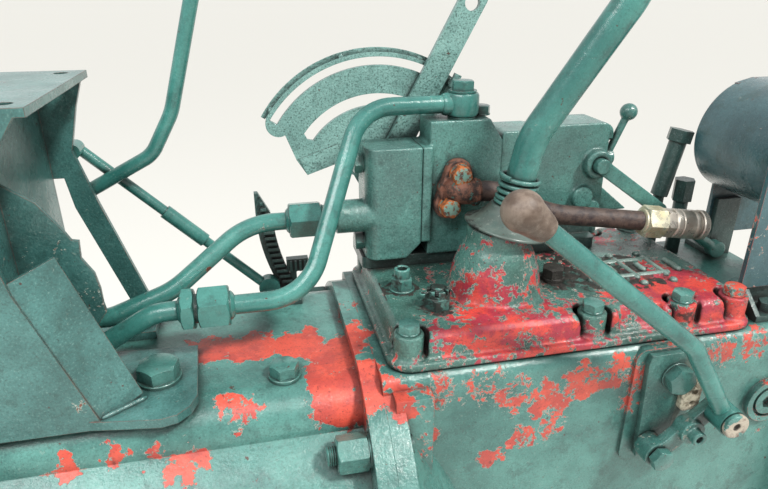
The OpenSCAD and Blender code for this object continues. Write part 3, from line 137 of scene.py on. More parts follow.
# What add_node can add: the node's type, the sockets that its values go to in order, the output that is read,
# or None for the node itself, and its settings
NODE_KINDS = {
    "noise": ("ShaderNodeTexNoise", ("Vector", "Scale", "Detail", "Roughness", "Distortion"), "Fac", {}),
    "warp": ("ShaderNodeTexNoise", ("Vector", "Scale", "Detail"), "Color", {}),
    "step": ("ShaderNodeMapRange", ("Value", "From Min", "From Max", "To Min", "To Max"), "Result",
             {"interpolation_type": "SMOOTHSTEP"}),
    "mix": ("ShaderNodeMix", (0, 6, 7), 2, {"data_type": "RGBA"}),
    **{name: ("ShaderNodeMath", (0, 1, 2), 0, {"operation": name.upper()})
       for name in ("add", "subtract", "multiply", "maximum", "multiply_add")},
    "distance": ("ShaderNodeVectorMath", (0, 1), "Value", {"operation": "DISTANCE"}),
    "dot": ("ShaderNodeVectorMath", (0, 1), "Value", {"operation": "DOT_PRODUCT"}),
    "vector_subtract": ("ShaderNodeVectorMath", (0, 1), 0, {"operation": "SUBTRACT"}),
    "vector_multiply_add": ("ShaderNodeVectorMath", (0, 1, 2), 0, {"operation": "MULTIPLY_ADD"}),
    "split": ("ShaderNodeSeparateXYZ", (0,), None, {}),
    "place": ("ShaderNodeTexCoord", (), "Object", {}),
    "face": ("ShaderNodeNewGeometry", (), "Normal", {}),
    "open_sky": ("ShaderNodeAmbientOcclusion", ("Distance",), "AO", {"samples": 4}),
    "rounded": ("ShaderNodeBevel", ("Radius",), "Normal", {"samples": 4}),
    "bump": ("ShaderNodeBump", ("Height", "Distance", "Normal", "Strength"), "Normal", {}),
    "shader": ("ShaderNodeBsdfPrincipled", (), None, {}),
    "output": ("ShaderNodeOutputMaterial", ("Surface",), None, {}),
    "rays": ("ShaderNodeLightPath", (), None, {}),
}
# Sockets whose values are given in mm; a noise's scale is given as the size of its blobs
LENGTH_SOCKETS = {"Distance", "Radius"}
# Materials by name, as they are made
FINISH = {}


def fill(socket, value):
    """Links a socket to another one, or sets it; text is an sRGB hex value."""
    if isinstance(value, bpy.types.NodeSocket):
        socket.id_data.links.new(value, socket)
    else:
        socket.default_value = srgb(value) if isinstance(value, str) else value


def add_node(tree, kind, *values):
    """Adds a node of a kind with its settings and fills its sockets."""
    type_name, sockets, output, settings = NODE_KINDS[kind]
    node = tree.nodes.new(type_name)
    for name, value in settings.items():
        setattr(node, name, value)
    for key, value in zip(sockets, values):
        if key == "Scale":
            value = 1 / (value * MM)
        elif key in LENGTH_SOCKETS:
            value *= MM
        fill(node.inputs[key], value)
    return node if output is None else node.outputs[output]


def start_material(name):
    """Files a new material under its name; returns what adds nodes to it, its shader and its coordinates."""
    material = FINISH[name] = bpy.data.materials.new(name)
    material.use_nodes = True
    material.node_tree.nodes.clear()
    add = functools.partial(add_node, material.node_tree)
    shader = add("shader")
    add("output", shader.outputs["BSDF"])
    return add, shader, add("place")


def plug(shader, values):
    """Fills the shader's sockets by name."""
    for key, value in values.items():
        fill(shader.inputs[key], value)


def total(add, *terms):
    """Sum of values, each a pair of socket and factor."""
    result = 0.0
    for value, factor in terms:
        result = add("multiply_add", value, factor, result)
    return result


def edge_wear(add, rounded):
    """How close a point lies to a sharp edge, from how far the rounded normal leans there."""
    return add("step", add("dot", rounded, add("face")), 0.995, 0.85)


def crevice_shade(add, reach_mm):
    """Where painted shade goes: 1 deep in corners and seams, 0 in the open."""
    return add("subtract", 1.0, add("open_sky", reach_mm))


def mottle(add, where, base, colour, blob_mm, detail, rough, start, end, most=1.0):
    """Mixes a colour into a base where a noise with blobs of this size passes from start to end."""
    mask = add("step", add("noise", where, blob_mm, detail, rough), start, end, 0.0, most)
    return add("mix", mask, base, colour)


def seam_shade_and_dirt(add, base, reach_mm, start, end, most):
    """Mixes the dirt colour into a base in corners and seams, as painted shade there and as oily dirt."""
    return add("mix", add("step", crevice_shade(add, reach_mm), start, end, 0.0, most), base, look().dirt)


def ragged_place(add, where):
    """Object coordinates pushed about by up to some 20 mm, so that a soft spot gets a torn outline."""
    push = add("vector_multiply_add", add("warp", where, 15, 4.0), (0.040, 0.040, 0.040), where)
    return add("vector_subtract", push, (0.020, 0.020, 0.020))


def zones(add, where, places):
    """The strongest of soft spots, each given as x, y, z and radius in mm and its strength; spots of
    negative strength are added on top."""
    best = 0.0
    less = 0.0
    for x, y, z, radius, strength in places:
        far = add("distance", where, (x * MM, y * MM, z * MM))
        spot = add("step", far, radius * MM, radius * MM * 0.35, 0.0, strength)
        if strength > 0:
            best = add("maximum", best, spot)
        else:
            less = add("add", less, spot)
    return add("add", best, less)


# Finishes

# Where the enamel has come off: x, y, z and radius in mm, and how much of it is gone
DECK_WEAR = [
    (196, -10, 198, 40, 0.32), (236, -14, 198, 40, 0.32), (278, -20, 198, 42, 0.32), (312, -46, 198, 40, 0.32),
    (322, -92, 190, 46, 0.30), (296, -104, 188, 36, 0.28), (222, -96, 196, 30, 0.27), (330, 20, 198, 30, 0.16),
    (300, -76, 196, 42, 0.29), (326, -30, 198, 40, 0.27),
    (88, -104, 165, 21, 0.28), (126, -104, 172, 19, 0.27), (154, -104, 168, 16, 0.26), (178, -106, 150, 32, 0.28),
    (244, -106, 146, 7, 0.32), (256, -62, 198, 30, -0.22), (150, -60, 204, 50, -0.3),
]
CASE_WEAR = [
    (352, -110, 192, 28, 0.26), (385, -110, 192, 34, 0.20), (420, -110, 184, 34, 0.20), (455, -110, 178, 36, 0.22),
    (490, -112, 168, 36, 0.25), (520, -112, 180, 36, 0.25), (550, -112, 186, 34, 0.23), (575, -112, 178, 30, 0.20),
    (500, -112, 140, 26, 0.22), (470, -112, 126, 26, 0.22), (440, -112, 112, 20, 0.22), (372, -110, 150, 28, 0.20),
    (560, -112, 150, 24, 0.16), (655, -112, 190, 34, 0.22), (700, -112, 198, 36, 0.22), (735, -112, 150, 34, 0.20),
    (720, -112, 100, 40, 0.12), (430, -112, 206, 44, 0.16), (600, -112, 202, 40, 0.18), (650, -112, 206, 40, 0.16),
    (430, 112, 150, 60, 0.17), (600, 112, 60, 60, 0.15), (120, 200, 60, 80, 0.16), (700, 112, 180, 60, 0.18),
    (230, 150, 130, 60, 0.15), (350, 150, -90, 60, 0.14), (60, -200, -30, 70, 0.14), (520, -112, -70, 70, 0.13),
    (760, -112, -130, 60, 0.17), (200, -160, -110, 60, 0.14), (10, 0, 215, 60, 0.14), (10, 180, -120, 70, 0.15),
]
COVER_WEAR = [
    (455, -22, 262, 60, 0.03), (420, -60, 245, 46, 0.05), (640, -60, 240, 70, 0.14), (475, -104, 222, 90, 0.08),
    (600, 0, 240, 60, -0.02), (365, -86, 236, 20, -0.25), (534, -86, 236, 20, -0.25), (625, -86, 236, 17, -0.25),
    (370, -40, 240, 40, -0.05), (660, -90, 225, 60, 0.10), (600, -60, 240, 60, 0.08), (560, 20, 240, 40, 0.05),
    *[(x, -97, 238, 17, 0.13) for x in range(392, 600, 16)], (450, -60, 262, 26, 0.10),
]
COVER_DIRT = [
    (560, -30, 240, 50, 0.26), (605, -25, 240, 50, 0.26), (640, -35, 240, 34, 0.20), (527, -22, 240, 30, 0.30),
    (520, -20, 230, 400, 0.075), (466, -22, 312, 34, 0.16), (440, -40, 250, 40, 0.14), (380, -60, 240, 50, 0.12),
    (401, -49, 240, 26, 0.34), (378, -10, 240, 22, 0.26), (470, -80, 240, 26, 0.12), (455, 20, 240, 40, 0.2),
    (540, -70, 226, 22, 0.22), (625, -92, 226, 18, 0.24), (450, -66, 285, 34, 0.15),
]
# Sizes in mm of what old brushed enamel shows. Grit, pinholes and the grain of the brush are really some 0.2 to
# 0.6 mm wide, and are drawn as coarse as they need to show
BLEACHED_AREA = 75
WORN_AREA = 50
WAVE = 28
UNDERCOAT_PATCH = 24
GREASE_PATCH = 17
DIRT_PATCH = 13
CHIP = 11
BRUSH_RIPPLE = 10
RUST_FRECKLE = 6.5
SCUFF = 5
CHIP_EDGE = 3.2
UNDERCOAT_BLOOM = 8
DEEP_CHIP = 4.5
# Breaks up the painted shade and dirt in seams
SEAM_BREAK = 18
BRUSH_GRAIN = 2.6
PINHOLE = 2.4
GRIT = 1.7
PAINT_FILM = 0.9
# Reach of the painted shade and dirt in corners and seams
SEAM_SHADE_REACH = 15
# The same of bare metal, rust and moulded grips; scratches and crumbs are drawn coarser than they are
DULL_PATCH = 12
OIL_STAIN = 8
SHEEN_PATCH = 6
SCRATCH = 0.8
RUST_BLOOM = 8
RUST_PIT = 2.2
PAINT_FLAKE = 7
RUST_SKIN = 3
CRUMB = 3


def weathered_enamel(name, paint, shade, under, level=0.70, spots=(), soot_and_shade=(), edge=0.10, round_mm=None,
                     grain=1.0, crevice_shade_and_grime=0.8, pits=0.55, shine=0.19):
    """Thick brushed tractor enamel over undercoat: glossy and slightly wavy, with ragged chips that show the
    undercoat and old oxide, lifted pale rims round them, dark pinholes, and oily dirt with painted shade in the
    seams."""
    hue = look()
    add, shader, where = start_material(name)
    rounded = add("rounded", hue.edge_radius / MM if round_mm is None else round_mm)
    bare = total(
        add, (add("noise", where, WORN_AREA, 4, 0.6), 0.30), (add("noise", where, CHIP, 6, 0.70, 0.5), 0.50),
        (add("noise", where, CHIP_EDGE, 3, 0.6), 0.20), (zones(add, ragged_place(add, where), spots), 1.0),
        (edge_wear(add, rounded), edge))
    chip = add("step", bare, level, level + 0.010)
    rim = add("subtract", add("step", bare, level - 0.020, level - 0.004), chip)
    # The enamel: bleached areas, then grease, dark and pale grit, scuffs, pinholes and freckles of rust
    tone = mottle(add, where, shade, paint, BLEACHED_AREA, 4, 0.65, 0.28, 0.74)
    for mark, *pattern in (
            ("#2F4F4B", GREASE_PATCH, 5, 0.7, 0.52, 0.66, 0.45),
            ("#2B4743", GRIT, 3, 0.7, 0.50, 0.36, 0.45 * grain),
            ("#A3C9C0", GRIT, 3, 0.7, 0.57, 0.72, 0.24 * grain),
            (hue.chalk, SCUFF, 5, 0.78, 0.60, 0.74, 0.28),
            ("#25302C", PINHOLE, 3, 0.65, 0.63, 0.71, pits),
            (hue.rust_dark, RUST_FRECKLE, 2, 0.5, 0.735, 0.760, 0.9)):
        tone = mottle(add, where, tone, mark, *pattern)
    tone = add("mix", add("multiply", rim, 0.70), tone, hue.chalk)
    # What the chips show: two undercoats, with oxide where they are deepest and a pale bloom
    coat = mottle(add, where, *under, UNDERCOAT_PATCH, 4, 0.65, 0.42, 0.60)
    coat = mottle(add, where, coat, hue.oxide, DEEP_CHIP, 5, 0.72, 0.585, 0.66, 0.75)
    coat = mottle(add, where, coat, "#F0A493", UNDERCOAT_BLOOM, 4, 0.7, 0.62, 0.72, 0.35)
    coat = mottle(add, where, coat, hue.oxide, GRIT, 3, 0.7, 0.48, 0.34, 0.40 * grain)
    colour = add("mix", chip, tone, coat)
    # Painted shade with oily dirt in corners, and oily dirt in patches that break up at their edges; the dirt mask
    # holds both
    corner = add("multiply", crevice_shade(add, SEAM_SHADE_REACH), add("noise", where, SEAM_BREAK, 4, 0.65))
    patch = total(add, (add("noise", where, DIRT_PATCH, 5, 0.7), 0.75), (zones(add, where, soot_and_shade), 1.0))
    dirt = add("maximum", add("step", corner, 0.07, 0.25, 0.0, crevice_shade_and_grime), add("step", patch, 0.58, 0.68, 0.0, 0.92))
    colour = add("mix", dirt, colour, hue.dirt)
    gloss = add("step", add("noise", where, WAVE, 3), 0.3, 0.7, shine, shine + 0.14)
    roughness = total(add, (gloss, 1.0), (chip, 0.20), (dirt, 0.30))
    height = total(
        add, (rim, 0.40), (chip, -0.40), (add("noise", where, BRUSH_RIPPLE, 3, 0.55), 0.90 * grain),
        (add("noise", where, BRUSH_GRAIN, 4, 0.7), 0.62 * grain), (dirt, 0.30))
    normal = add("bump", height, PAINT_FILM, rounded, 0.8)
    plug(shader, {"Base Color": colour, "Roughness": roughness, "IOR": 1.5, "Normal": normal,
                  "Coat Weight": 0.35, "Coat Roughness": 0.12, "Coat Normal": normal})
    return add, shader, where


def worn_metal(name, light, dark, rough=0.36, stain=0.66, stain_colour=None, metal=0.85):
    """Machined or plated metal gone dull with handling: finely scratched, browned where oil has dried."""
    add, shader, where = start_material(name)
    rounded = add("rounded", 0.5)
    tone = mottle(add, where, light, dark, DULL_PATCH, 5, 0.65, 0.35, 0.7)
    marks = add("step", add("noise", where, OIL_STAIN, 5, 0.72), stain, stain + 0.10)
    tone = add("mix", marks, tone, stain_colour or look().rust_dark)
    # Painted shade and dirt in corners and seams
    tone = seam_shade_and_dirt(add, tone, 7, 0.25, 0.75, 0.85)
    tone = add("mix", add("multiply", edge_wear(add, rounded), 0.5), tone, "#E4DFD3")
    gloss = add("step", add("noise", where, SHEEN_PATCH, 4), 0.3, 0.7, rough - 0.08, rough + 0.14)
    plug(shader, {"Base Color": tone, "Roughness": total(add, (gloss, 1.0), (marks, 0.3)), "Metallic": metal,
                  "Normal": add("bump", add("noise", where, SCRATCH, 3), 0.2, rounded, 0.5)})


def rusty_iron(name, bright, dark, paint=None, left=0.68, face=None, rough=0.72):
    """Iron with a dry rust skin: orange on the high spots, brown-black below, with flakes of old paint;
    a painted face keeps its enamel on the side that looks along an axis."""
    add, shader, where = start_material(name)
    tone = mottle(add, where, dark, bright, RUST_BLOOM, 5, 0.72, 0.38, 0.60)
    tone = mottle(add, where, tone, "#33201A", RUST_PIT, 4, 0.7, 0.55, 0.75, 0.6)
    tone = mottle(add, where, tone, paint or look().enamel_shade, PAINT_FLAKE, 4, 0.6, left, left + 0.02)
    if face:
        kept = total(add, (add("dot", add("face"), face), 1.0), (add("noise", where, 4, 4, 0.7), 0.35))
        kept = add("step", kept, 1.145, 1.165)
        tone = add("mix", add("multiply", kept, 0.8), tone, look().enamel)
        rough = add("multiply_add", kept, -0.35, rough)
    # Painted shade and dirt in corners and seams
    tone = seam_shade_and_dirt(add, tone, 9, 0.25, 0.8, 0.8)
    plug(shader, {"Base Color": tone, "Roughness": rough, "Metallic": 0.0,
                  "Normal": add("bump", add("noise", where, RUST_SKIN, 5, 0.7), 0.8, add("rounded", 0.8), 0.9)})


def plain_matter(name, light, dark, size_mm, rough, grain_mm=1.5, depth_mm=0.3, crumbs_and_glints=0.0):
    """A dull two-toned finish, such as oily dirt or a moulded grip, with lighter specks in it: crumbs on the grip,
    painted glints on the dirt.
    """
    add, shader, where = start_material(name)
    tone = mottle(add, where, light, dark, size_mm, 5, 0.65, 0.34, 0.66)
    tone = mottle(add, where, tone, "#8B8C80", CRUMB, 4, 0.75, 0.60, 0.72, crumbs_and_glints)
    # Painted shade and dirt in corners and seams
    tone = seam_shade_and_dirt(add, tone, 10, 0.3, 0.9, 0.7)
    grain = add("noise", where, grain_mm, 4, 0.65)
    plug(shader, {"Base Color": tone, "Roughness": rough,
                  "Normal": add("bump", grain, depth_mm, add("rounded", 0.6), 0.8)})


# Outer face and rear edge of the range plate's raised detent strip, in metres
DETENT_FACE = -0.1182
DETENT_EDGE = 0.6145


def detent_enamel(name):
    """Enamel of the range plate, rubbed down to cream-coloured steel on the raised detent strip."""
    hue = look()
    add, shader, where = weathered_enamel(name, hue.enamel, hue.enamel_shade, (hue.coral_deep, hue.oxide), 0.74)
    place = add("split", where).outputs
    proud = add("step", place["Y"], DETENT_FACE + 0.0004, DETENT_FACE - 0.0004)
    side = add("step", place["X"], DETENT_EDGE - 0.0005, DETENT_EDGE + 0.0005)
    worn = mottle(add, where, "#C9C1AC", "#75695A", 6, 5, 0.7, 0.40, 0.62)
    enamel = shader.inputs["Base Color"].links[0].from_socket
    plug(shader, {"Base Color": add("mix", add("multiply", proud, side), enamel, worn)})


# More places where enamel has come off or dirt lies, as above
STAND_WEAR = [
    (120, -103, 215, 40, 0.10), (20, -103, 300, 60, 0.08), (128, -60, 280, 40, 0.16), (74, -61, 330, 60, 0.10),
]
PEDESTAL_WEAR = [
    (705, -72, 400, 60, 0.16), (704, -72, 300, 60, 0.14), (735, -20, 395, 50, 0.10), (705, -72, 240, 50, 0.12),
]
PIPE_WEAR = [(252, 48, 296, 12, 0.26), (195, 20, 262, 12, 0.26), (186, -29, 252, 9, 0.14)]
BOLT_WEAR = [(680, -86, 246, 34, 0.26), (365, -86, 250, 9, 0.05)]
BOLT_DIRT = [(401, -49, 250, 26, 0.33), (378, -10, 250, 24, 0.24), (534, -86, 250, 14, 0.11)]
VALVE_DIRT = [(420, 32, 255, 40, 0.16), (495, 45, 280, 30, 0.14), (540, 52, 272, 30, 0.12)]
QUADRANT_WEAR = [(375, 90, 250, 50, 0.10), (300, 92, 340, 12, 0.05)]
QUADRANT_DIRT = [(385, 92, 385, 34, 0.16), (340, 92, 262, 40, 0.14)]


def make_finishes():
    """Makes every finish; a comment says what the real one is and what that gives the eye."""
    hue = look()
    red = (hue.coral, hue.coral_deep)
    old = (hue.coral_deep, hue.oxide)
    rusty = (hue.rust_dark, "#7C4A38")
    teal = (hue.enamel, hue.enamel_shade)
    dull = (hue.enamel_dark, "#22322F")
    # Sand-cast iron under brushed alkyd enamel: a thick, softly glossy film that breaks into big ragged coral chips
    weathered_enamel("case_enamel", *teal, red, 0.70, DECK_WEAR + CASE_WEAR, grain=0.8)
    # Forged and turned steel under the same enamel: few chips, thin paint on crisp edges
    weathered_enamel("part_enamel", *teal, old, 0.73, edge=0.07, round_mm=0.7, grain=0.8)
    # Rough sand-cast iron of the valve, sprayed: a grainy skin with grease and painted shade along the seams
    weathered_enamel(
        "valve_enamel", hue.enamel, "#4A706B", old, 0.72, [(353, 45, 300, 30, 0.06)], VALVE_DIRT,
        edge=0.08, grain=1.15)
    # Drawn steel tube and bar, enamelled: smoother, deeper and glossier, with round rust spots
    weathered_enamel(
        "pipe_enamel", "#4D9188", "#2C6963", rusty, 0.715, PIPE_WEAR, edge=0.05, round_mm=0.6,
        grain=0.45, pits=0.4, shine=0.18)
    # Enamelled steel hexagons rubbed by spanners: worn corners, dirt and painted shade in the angles
    weathered_enamel(
        "bolt_enamel", *teal, red, 0.715, BOLT_WEAR, BOLT_DIRT, edge=0.12, round_mm=0.5, grain=0.6, crevice_shade_and_grime=0.9)
    # Pressed steel plate, enamel brushed on thick: hammered and pale, speckled with rust
    weathered_enamel(
        "quadrant_enamel", "#8DB8B1", "#6A948E", rusty, 0.71, QUADRANT_WEAR, QUADRANT_DIRT,
        edge=0.08, round_mm=0.5, grain=1.7, pits=0.7, shine=0.20)
    # Folded sheet steel, enamelled: flat, painted darker for the shadow that falls on it, rusting along its cut edges
    weathered_enamel(
        "shaded_stand_enamel", "#528682", "#335C59", rusty, 0.70, STAND_WEAR, edge=0.34, round_mm=1.0,
        grain=0.9)
    # Rolled sheet steel in enamel painted bluer and darker as painted shade, worn through to pink and coral at its
    # edges
    weathered_enamel(
        "shaded_pedestal_enamel", "#4E757B", "#2F4F56", (hue.coral, "#C98C84"), 0.71, PEDESTAL_WEAR,
        [(702, -72, 330, 26, 0.12)], edge=0.22, round_mm=1.0, grain=0.7)
    # Cast iron cover that has lost most of its teal: glossy crimson and coral primer under a crust of oil
    weathered_enamel(
        "cover_enamel", "#56897F", "#2F4F46", (hue.crimson, "#D6463B"), 0.55, COVER_WEAR,
        COVER_DIRT, edge=0.03, round_mm=1.5, grain=1.3, crevice_shade_and_grime=0.95, shine=0.13)
    # Cast bars of the shift pattern: tops polished pale by boots, dirt and painted shade round their feet
    weathered_enamel(
        "pattern_enamel", "#8FA79F", "#4E6A63", ("#A59C8C", hue.coral), 0.60,
        soot_and_shade=[(600, -20, 238, 80, 0.06)], edge=0.1, round_mm=0.5, crevice_shade_and_grime=1.0, shine=0.2)
    # Enamelled steel under old grease: almost black-green and duller
    weathered_enamel("grimy_enamel", *dull, rusty, 0.72, grain=1.2, crevice_shade_and_grime=0.95, pits=0.8, shine=0.34)
    # Spun sheet steel of the dust cap, enamelled: smooth olive grey, with painted shade on its forward side
    weathered_enamel(
        "cap_enamel", "#5E6F68", "#2B322F", rusty, 0.75, soot_and_shade=[(438, -22, 310, 36, 0.22)],
        grain=0.35, shine=0.30)
    detent_enamel("detent_enamel")
    # Forged steel, enamelled and handled for years: worn to cream steel on its edges and its pin
    weathered_enamel(
        "arm_enamel", *teal, ("#B9AF9E", "#5A4F46"), 0.60, [(642, -160, 152, 15, 0.3)],
        [(605, -130, 120, 26, 0.10)], edge=0.25, round_mm=0.6, crevice_shade_and_grime=0.95)
    # Ground carbon steel of shafts and bearings: dull grey with brown oil stains
    worn_metal("worn_steel", hue.steel, hue.steel_dark)
    # Turned steel, nickel-plated: warm white metal, satin, browned in its grooves by dirt and painted shade
    worn_metal("plated_steel", "#DDD6CB", "#B5AB9D", 0.32, 0.70, "#8A6A4A", 0.6)
    # Zinc-plated steel, yellow-passivated: pale straw gold with darker spots
    worn_metal("zinc_plate", "#F4EFD6", "#C9BE98", 0.28, 0.64, "#6B5638", 0.55)
    # Steel bolt heads rusted dry: matt orange, with scraps of teal left on their faces
    rusty_iron("orange_rust", hue.rust, hue.rust_dark, face=(0, -1, 0), left=0.80)
    # Rusted cast iron: matt brown with flakes of old paint
    rusty_iron("flange_rust", "#7A5040", "#2E211D", left=0.64)
    # Hot-rolled steel pipe, never painted: smooth dark mill scale gone brown
    rusty_iron("pipe_rust", "#54443D", "#322626", "#7C7168", 0.70, rough=0.5)
    # Soil caked with oil: black crumbs, with pale specks as painted glints
    plain_matter("oily_dirt", "#33312C", hue.dirt, 6, 0.62, 2.2, 1.4, 0.45)
    # Moulded phenolic resin, once black: bleached and rubbed to a warm satin brown
    plain_matter("worn_grip", "#86776B", "#56463B", 14, 0.44, 1.2, 0.3, 0.15)
    # Moulded phenolic resin, polished: still glossy black
    plain_matter("black_grip", "#191919", "#0D0D0D", 20, 0.22, 2, 0.03)


# Finish of each material slot, and of the nodes that differ from it
SLOT_FINISH = {
    "teal_paint": "part_enamel", "cover_red": "cover_enamel", "dark_paint": "grimy_enamel",
    "bare_steel": "worn_steel", "rusty_iron": "flange_rust", "rusty_pipe": "pipe_rust", "brass": "zinc_plate",
    "grimy_iron": "oily_dirt", "worn_grip": "worn_grip", "black_grip": "black_grip",
}
NODE_FINISH = {node: finish for finish, nodes in {
    "case_enamel": "clutch_housing gearbox_case side_cover inspection_plate",
    "bolt_enamel": "cover_bolts joint_nuts stand_bolts valve_bolts range_bolts",
    "valve_enamel": "valve_end valve_body valve_spool_block",
    "pipe_enamel": "banjo upper_pipe union_pipe inlet_pipe inlet_fitting gear_lever bent_tube stay_rod range_rod",
    "quadrant_enamel": "quadrant hand_lever", "shaded_stand_enamel": "front_stand", "shaded_pedestal_enamel": "seat_pedestal",
    "cap_enamel": "dust_cap", "detent_enamel": "range_plate", "arm_enamel": "range_arm",
    "plated_steel": "quick_coupling",
}.items() for node in nodes.split()}


def finish_of(node):
    """The finish that a CAD node and what stands for it wear."""
    return NODE_FINISH.get(node, SLOT_FINISH[SLOTS[node]])


def wear(piece, finish):
    """Gives a piece one finish."""
    piece.data.materials.clear()
    piece.data.materials.append(FINISH[finish])


# Modelling helpers. Parts are made as by hand, in mm round the world's origin, and carried to their place;
# make_piece joins them and scales them to metres


def only(*pieces):
    """Makes these objects the whole selection."""
    bpy.ops.object.select_all(action="DESELECT")
    for piece in pieces:
        piece.select_set(True)
    if pieces:
        bpy.context.view_layer.objects.active = pieces[0]


def new_object(name, data):
    """A new object in the scene, as the whole selection."""
    made = bpy.data.objects.new(name, data)
    bpy.context.scene.collection.objects.link(made)
    only(made)
    return made


def apply_modifiers(piece):
    """Applies every modifier of a piece."""
    only(piece)
    for modifier in list(piece.modifiers):
        bpy.ops.object.modifier_apply(modifier=modifier.name)


@contextlib.contextmanager
def edit_mode():
    """Edit mode with the whole active mesh selected."""
    bpy.ops.object.mode_set(mode="EDIT")
    bpy.ops.mesh.select_all(action="SELECT")
    yield
    bpy.ops.object.mode_set(mode="OBJECT")


def merge(distance=0.01):
    """Merges vertices of the active mesh that lie on each other."""
    with edit_mode():
        bpy.ops.mesh.remove_doubles(threshold=distance)
        bpy.ops.mesh.normals_make_consistent(inside=False)


def settle(piece, node, finish=None, extra=False):
    """Gives a piece its finish and its body, and lets it stand for its CAD node unless it is an
    extra."""
    wear(piece, finish or finish_of(node))
    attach(piece, NODE_BODY[node])
    if not extra:
        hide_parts(node)


def make_piece(name, parts, node, finish=None, angle=35, extra=False):
    """Joins parts made in mm into a finished piece that stands for a CAD node, or is an extra on it."""
    only(*parts)
    bpy.ops.object.join()
    piece = bpy.context.active_object
    piece.name = piece.data.name = name
    piece.data.transform(Matrix.Scale(MM, 4))
    with edit_mode():
        bpy.ops.mesh.normals_make_consistent(inside=False)
    bpy.ops.object.shade_smooth_by_angle(angle=math.radians(angle))
    settle(piece, node, finish, extra)


def facing(point, axis, turn=0.0):
    """Matrix whose local Z stands along an axis at a point, turned about it by degrees."""
    z = Vector(axis).normalized()
    if abs(z.x) > 0.9999:
        x = Vector((0, 0, -1))
    elif abs(z.x) < 0.0001:
        x = Vector((1, 0, 0))
    else:
        x = Vector((0, 0, 1)).cross(z).normalized()
    y = z.cross(x)
    base = Matrix((x, y, z)).transposed().to_4x4()
    return Matrix.Translation(point) @ base @ Matrix.Rotation(math.radians(turn), 4, "Z")


def sketch(points, closed=False, filled=False):
    """A selected object of edges through points, or of one face, for an operator to work on."""
    count = len(points)
    edges = [] if filled else [(k, (k + 1) % count) for k in range(count if closed else count - 1)]
    mesh = bpy.data.meshes.new("sketch")
    mesh.from_pydata(points, edges, [range(count)] if filled else [])
    return new_object("sketch", mesh)


def cut(piece, tool, operation):
    """Cuts a piece by a tool, which is then thrown away."""
    modifier = piece.modifiers.new("Cut", "BOOLEAN")
    modifier.operation = operation
    modifier.solver = "EXACT"
    modifier.object = tool
    apply_modifiers(piece)
    bpy.data.objects.remove(tool)


def lathe(parts, place, profile, segments=40, ring=False):
    """Spins (radius, height) pairs round local Z, as on a lathe; ring joins the last pair to the first."""
    made = sketch([(radius, 0, height) for radius, height in profile], ring)
    with edit_mode():
        bpy.ops.mesh.spin(steps=segments, angle=math.tau, center=(0, 0, 0), axis=(0, 0, 1))
    merge()
    made.data.transform(place)
    parts.append(made)
    return made


def disc(parts, place, radius, start, end, segments=40):
    """Plain cylinder from one height to another."""
    lathe(parts, place, [(0, start), (radius, start), (radius, end), (0, end)], segments)


def hexagon(parts, place, across, height, lift=0.0, both=False):
    """Hexagonal head or nut: a six-sided prism whose corners a turned cone takes off, which leaves arcs on
    the flats."""
    slope = math.tan(look().head_chamfer)
    cone = 0.955 * across / 2
    wide = 0.7 * across
    drop = (wide - cone) * slope
    low = [(0, -cone * slope), (wide, drop)] if both else [(0, -wide), (wide, -wide)]
    tool = lathe([], Matrix(), low + [(wide, height - drop), (0, height + cone * slope)], 48)
    only()
    bpy.ops.mesh.primitive_cylinder_add(
        vertices=6, radius=across / 2 / math.cos(math.radians(30)), depth=height, location=(0, 0, height / 2),
        rotation=(0, 0, math.radians(30)))
    bpy.ops.object.transform_apply()
    made = bpy.context.active_object
    cut(made, tool, "INTERSECT")
    made.data.transform(place @ Matrix.Translation((0, 0, lift)))
    parts.append(made)


def washer(parts, place, radius, thick):
    """Punched washer with a rolled upper edge."""
    lathe(parts, place, [(0, 0), (radius, 0), (radius, thick - 0.5), (radius - 0.5, thick), (0, thick)])


def thread(parts, place, radius, start, end):
    """Stud end with its thread as rings of the given pitch and a chamfered tip."""
    pitch = look().thread_pitch / MM
    profile = [(0, start), (radius, start)]
    z = start + pitch / 2
    while z + pitch < end - pitch / 2:
        profile += [(radius, z), (radius - 0.54 * pitch, z + pitch / 2)]
        z += pitch
    profile += [(radius, z), (radius, end - 0.9), (radius - 1.2, end), (0, end)]
    lathe(parts, place, profile, 32)


def tube(parts, points, radius, sides=24):
    """Round bar along points, a bevelled curve made a mesh; the radius may change from point to point."""
    curve = bpy.data.curves.new("bar", "CURVE")
    curve.dimensions = "3D"
    curve.bevel_depth = 1.0
    curve.bevel_resolution = sides // 2 - 2
    curve.use_fill_caps = True
    line = curve.splines.new("POLY")
    line.points.add(len(points) - 1)
    sizes = radius if isinstance(radius, (list, tuple)) else [radius] * len(points)
    for knot, point, size in zip(line.points, points, sizes):
        knot.co = (*point, 1)
        knot.radius = size
    new_object("bar", curve)
    bpy.ops.object.convert(target="MESH")
    merge()
    parts.append(bpy.context.active_object)


def bent(route, bends, turn_step=5):
    """Points of a bent rod: straight runs joined by arcs of the given radii."""
    route = [Vector(p) for p in route]
    points = [route[0]]
    for before, corner, after, radius in zip(route, route[1:], route[2:], bends):
        one, two = (corner - before).normalized(), (after - corner).normalized()
        turn = one.angle(two)
        reach = radius * math.tan(turn / 2)
        start = corner - one * reach
        inward = (two - one * one.dot(two)).normalized()
        centre = start + inward * radius
        steps = max(3, int(math.degrees(turn) / turn_step))
        for k in range(steps + 1):
            angle = turn * k / steps
            points.append(centre - inward * radius * math.cos(angle) + one * radius * math.sin(angle))
    return points + [route[-1]]


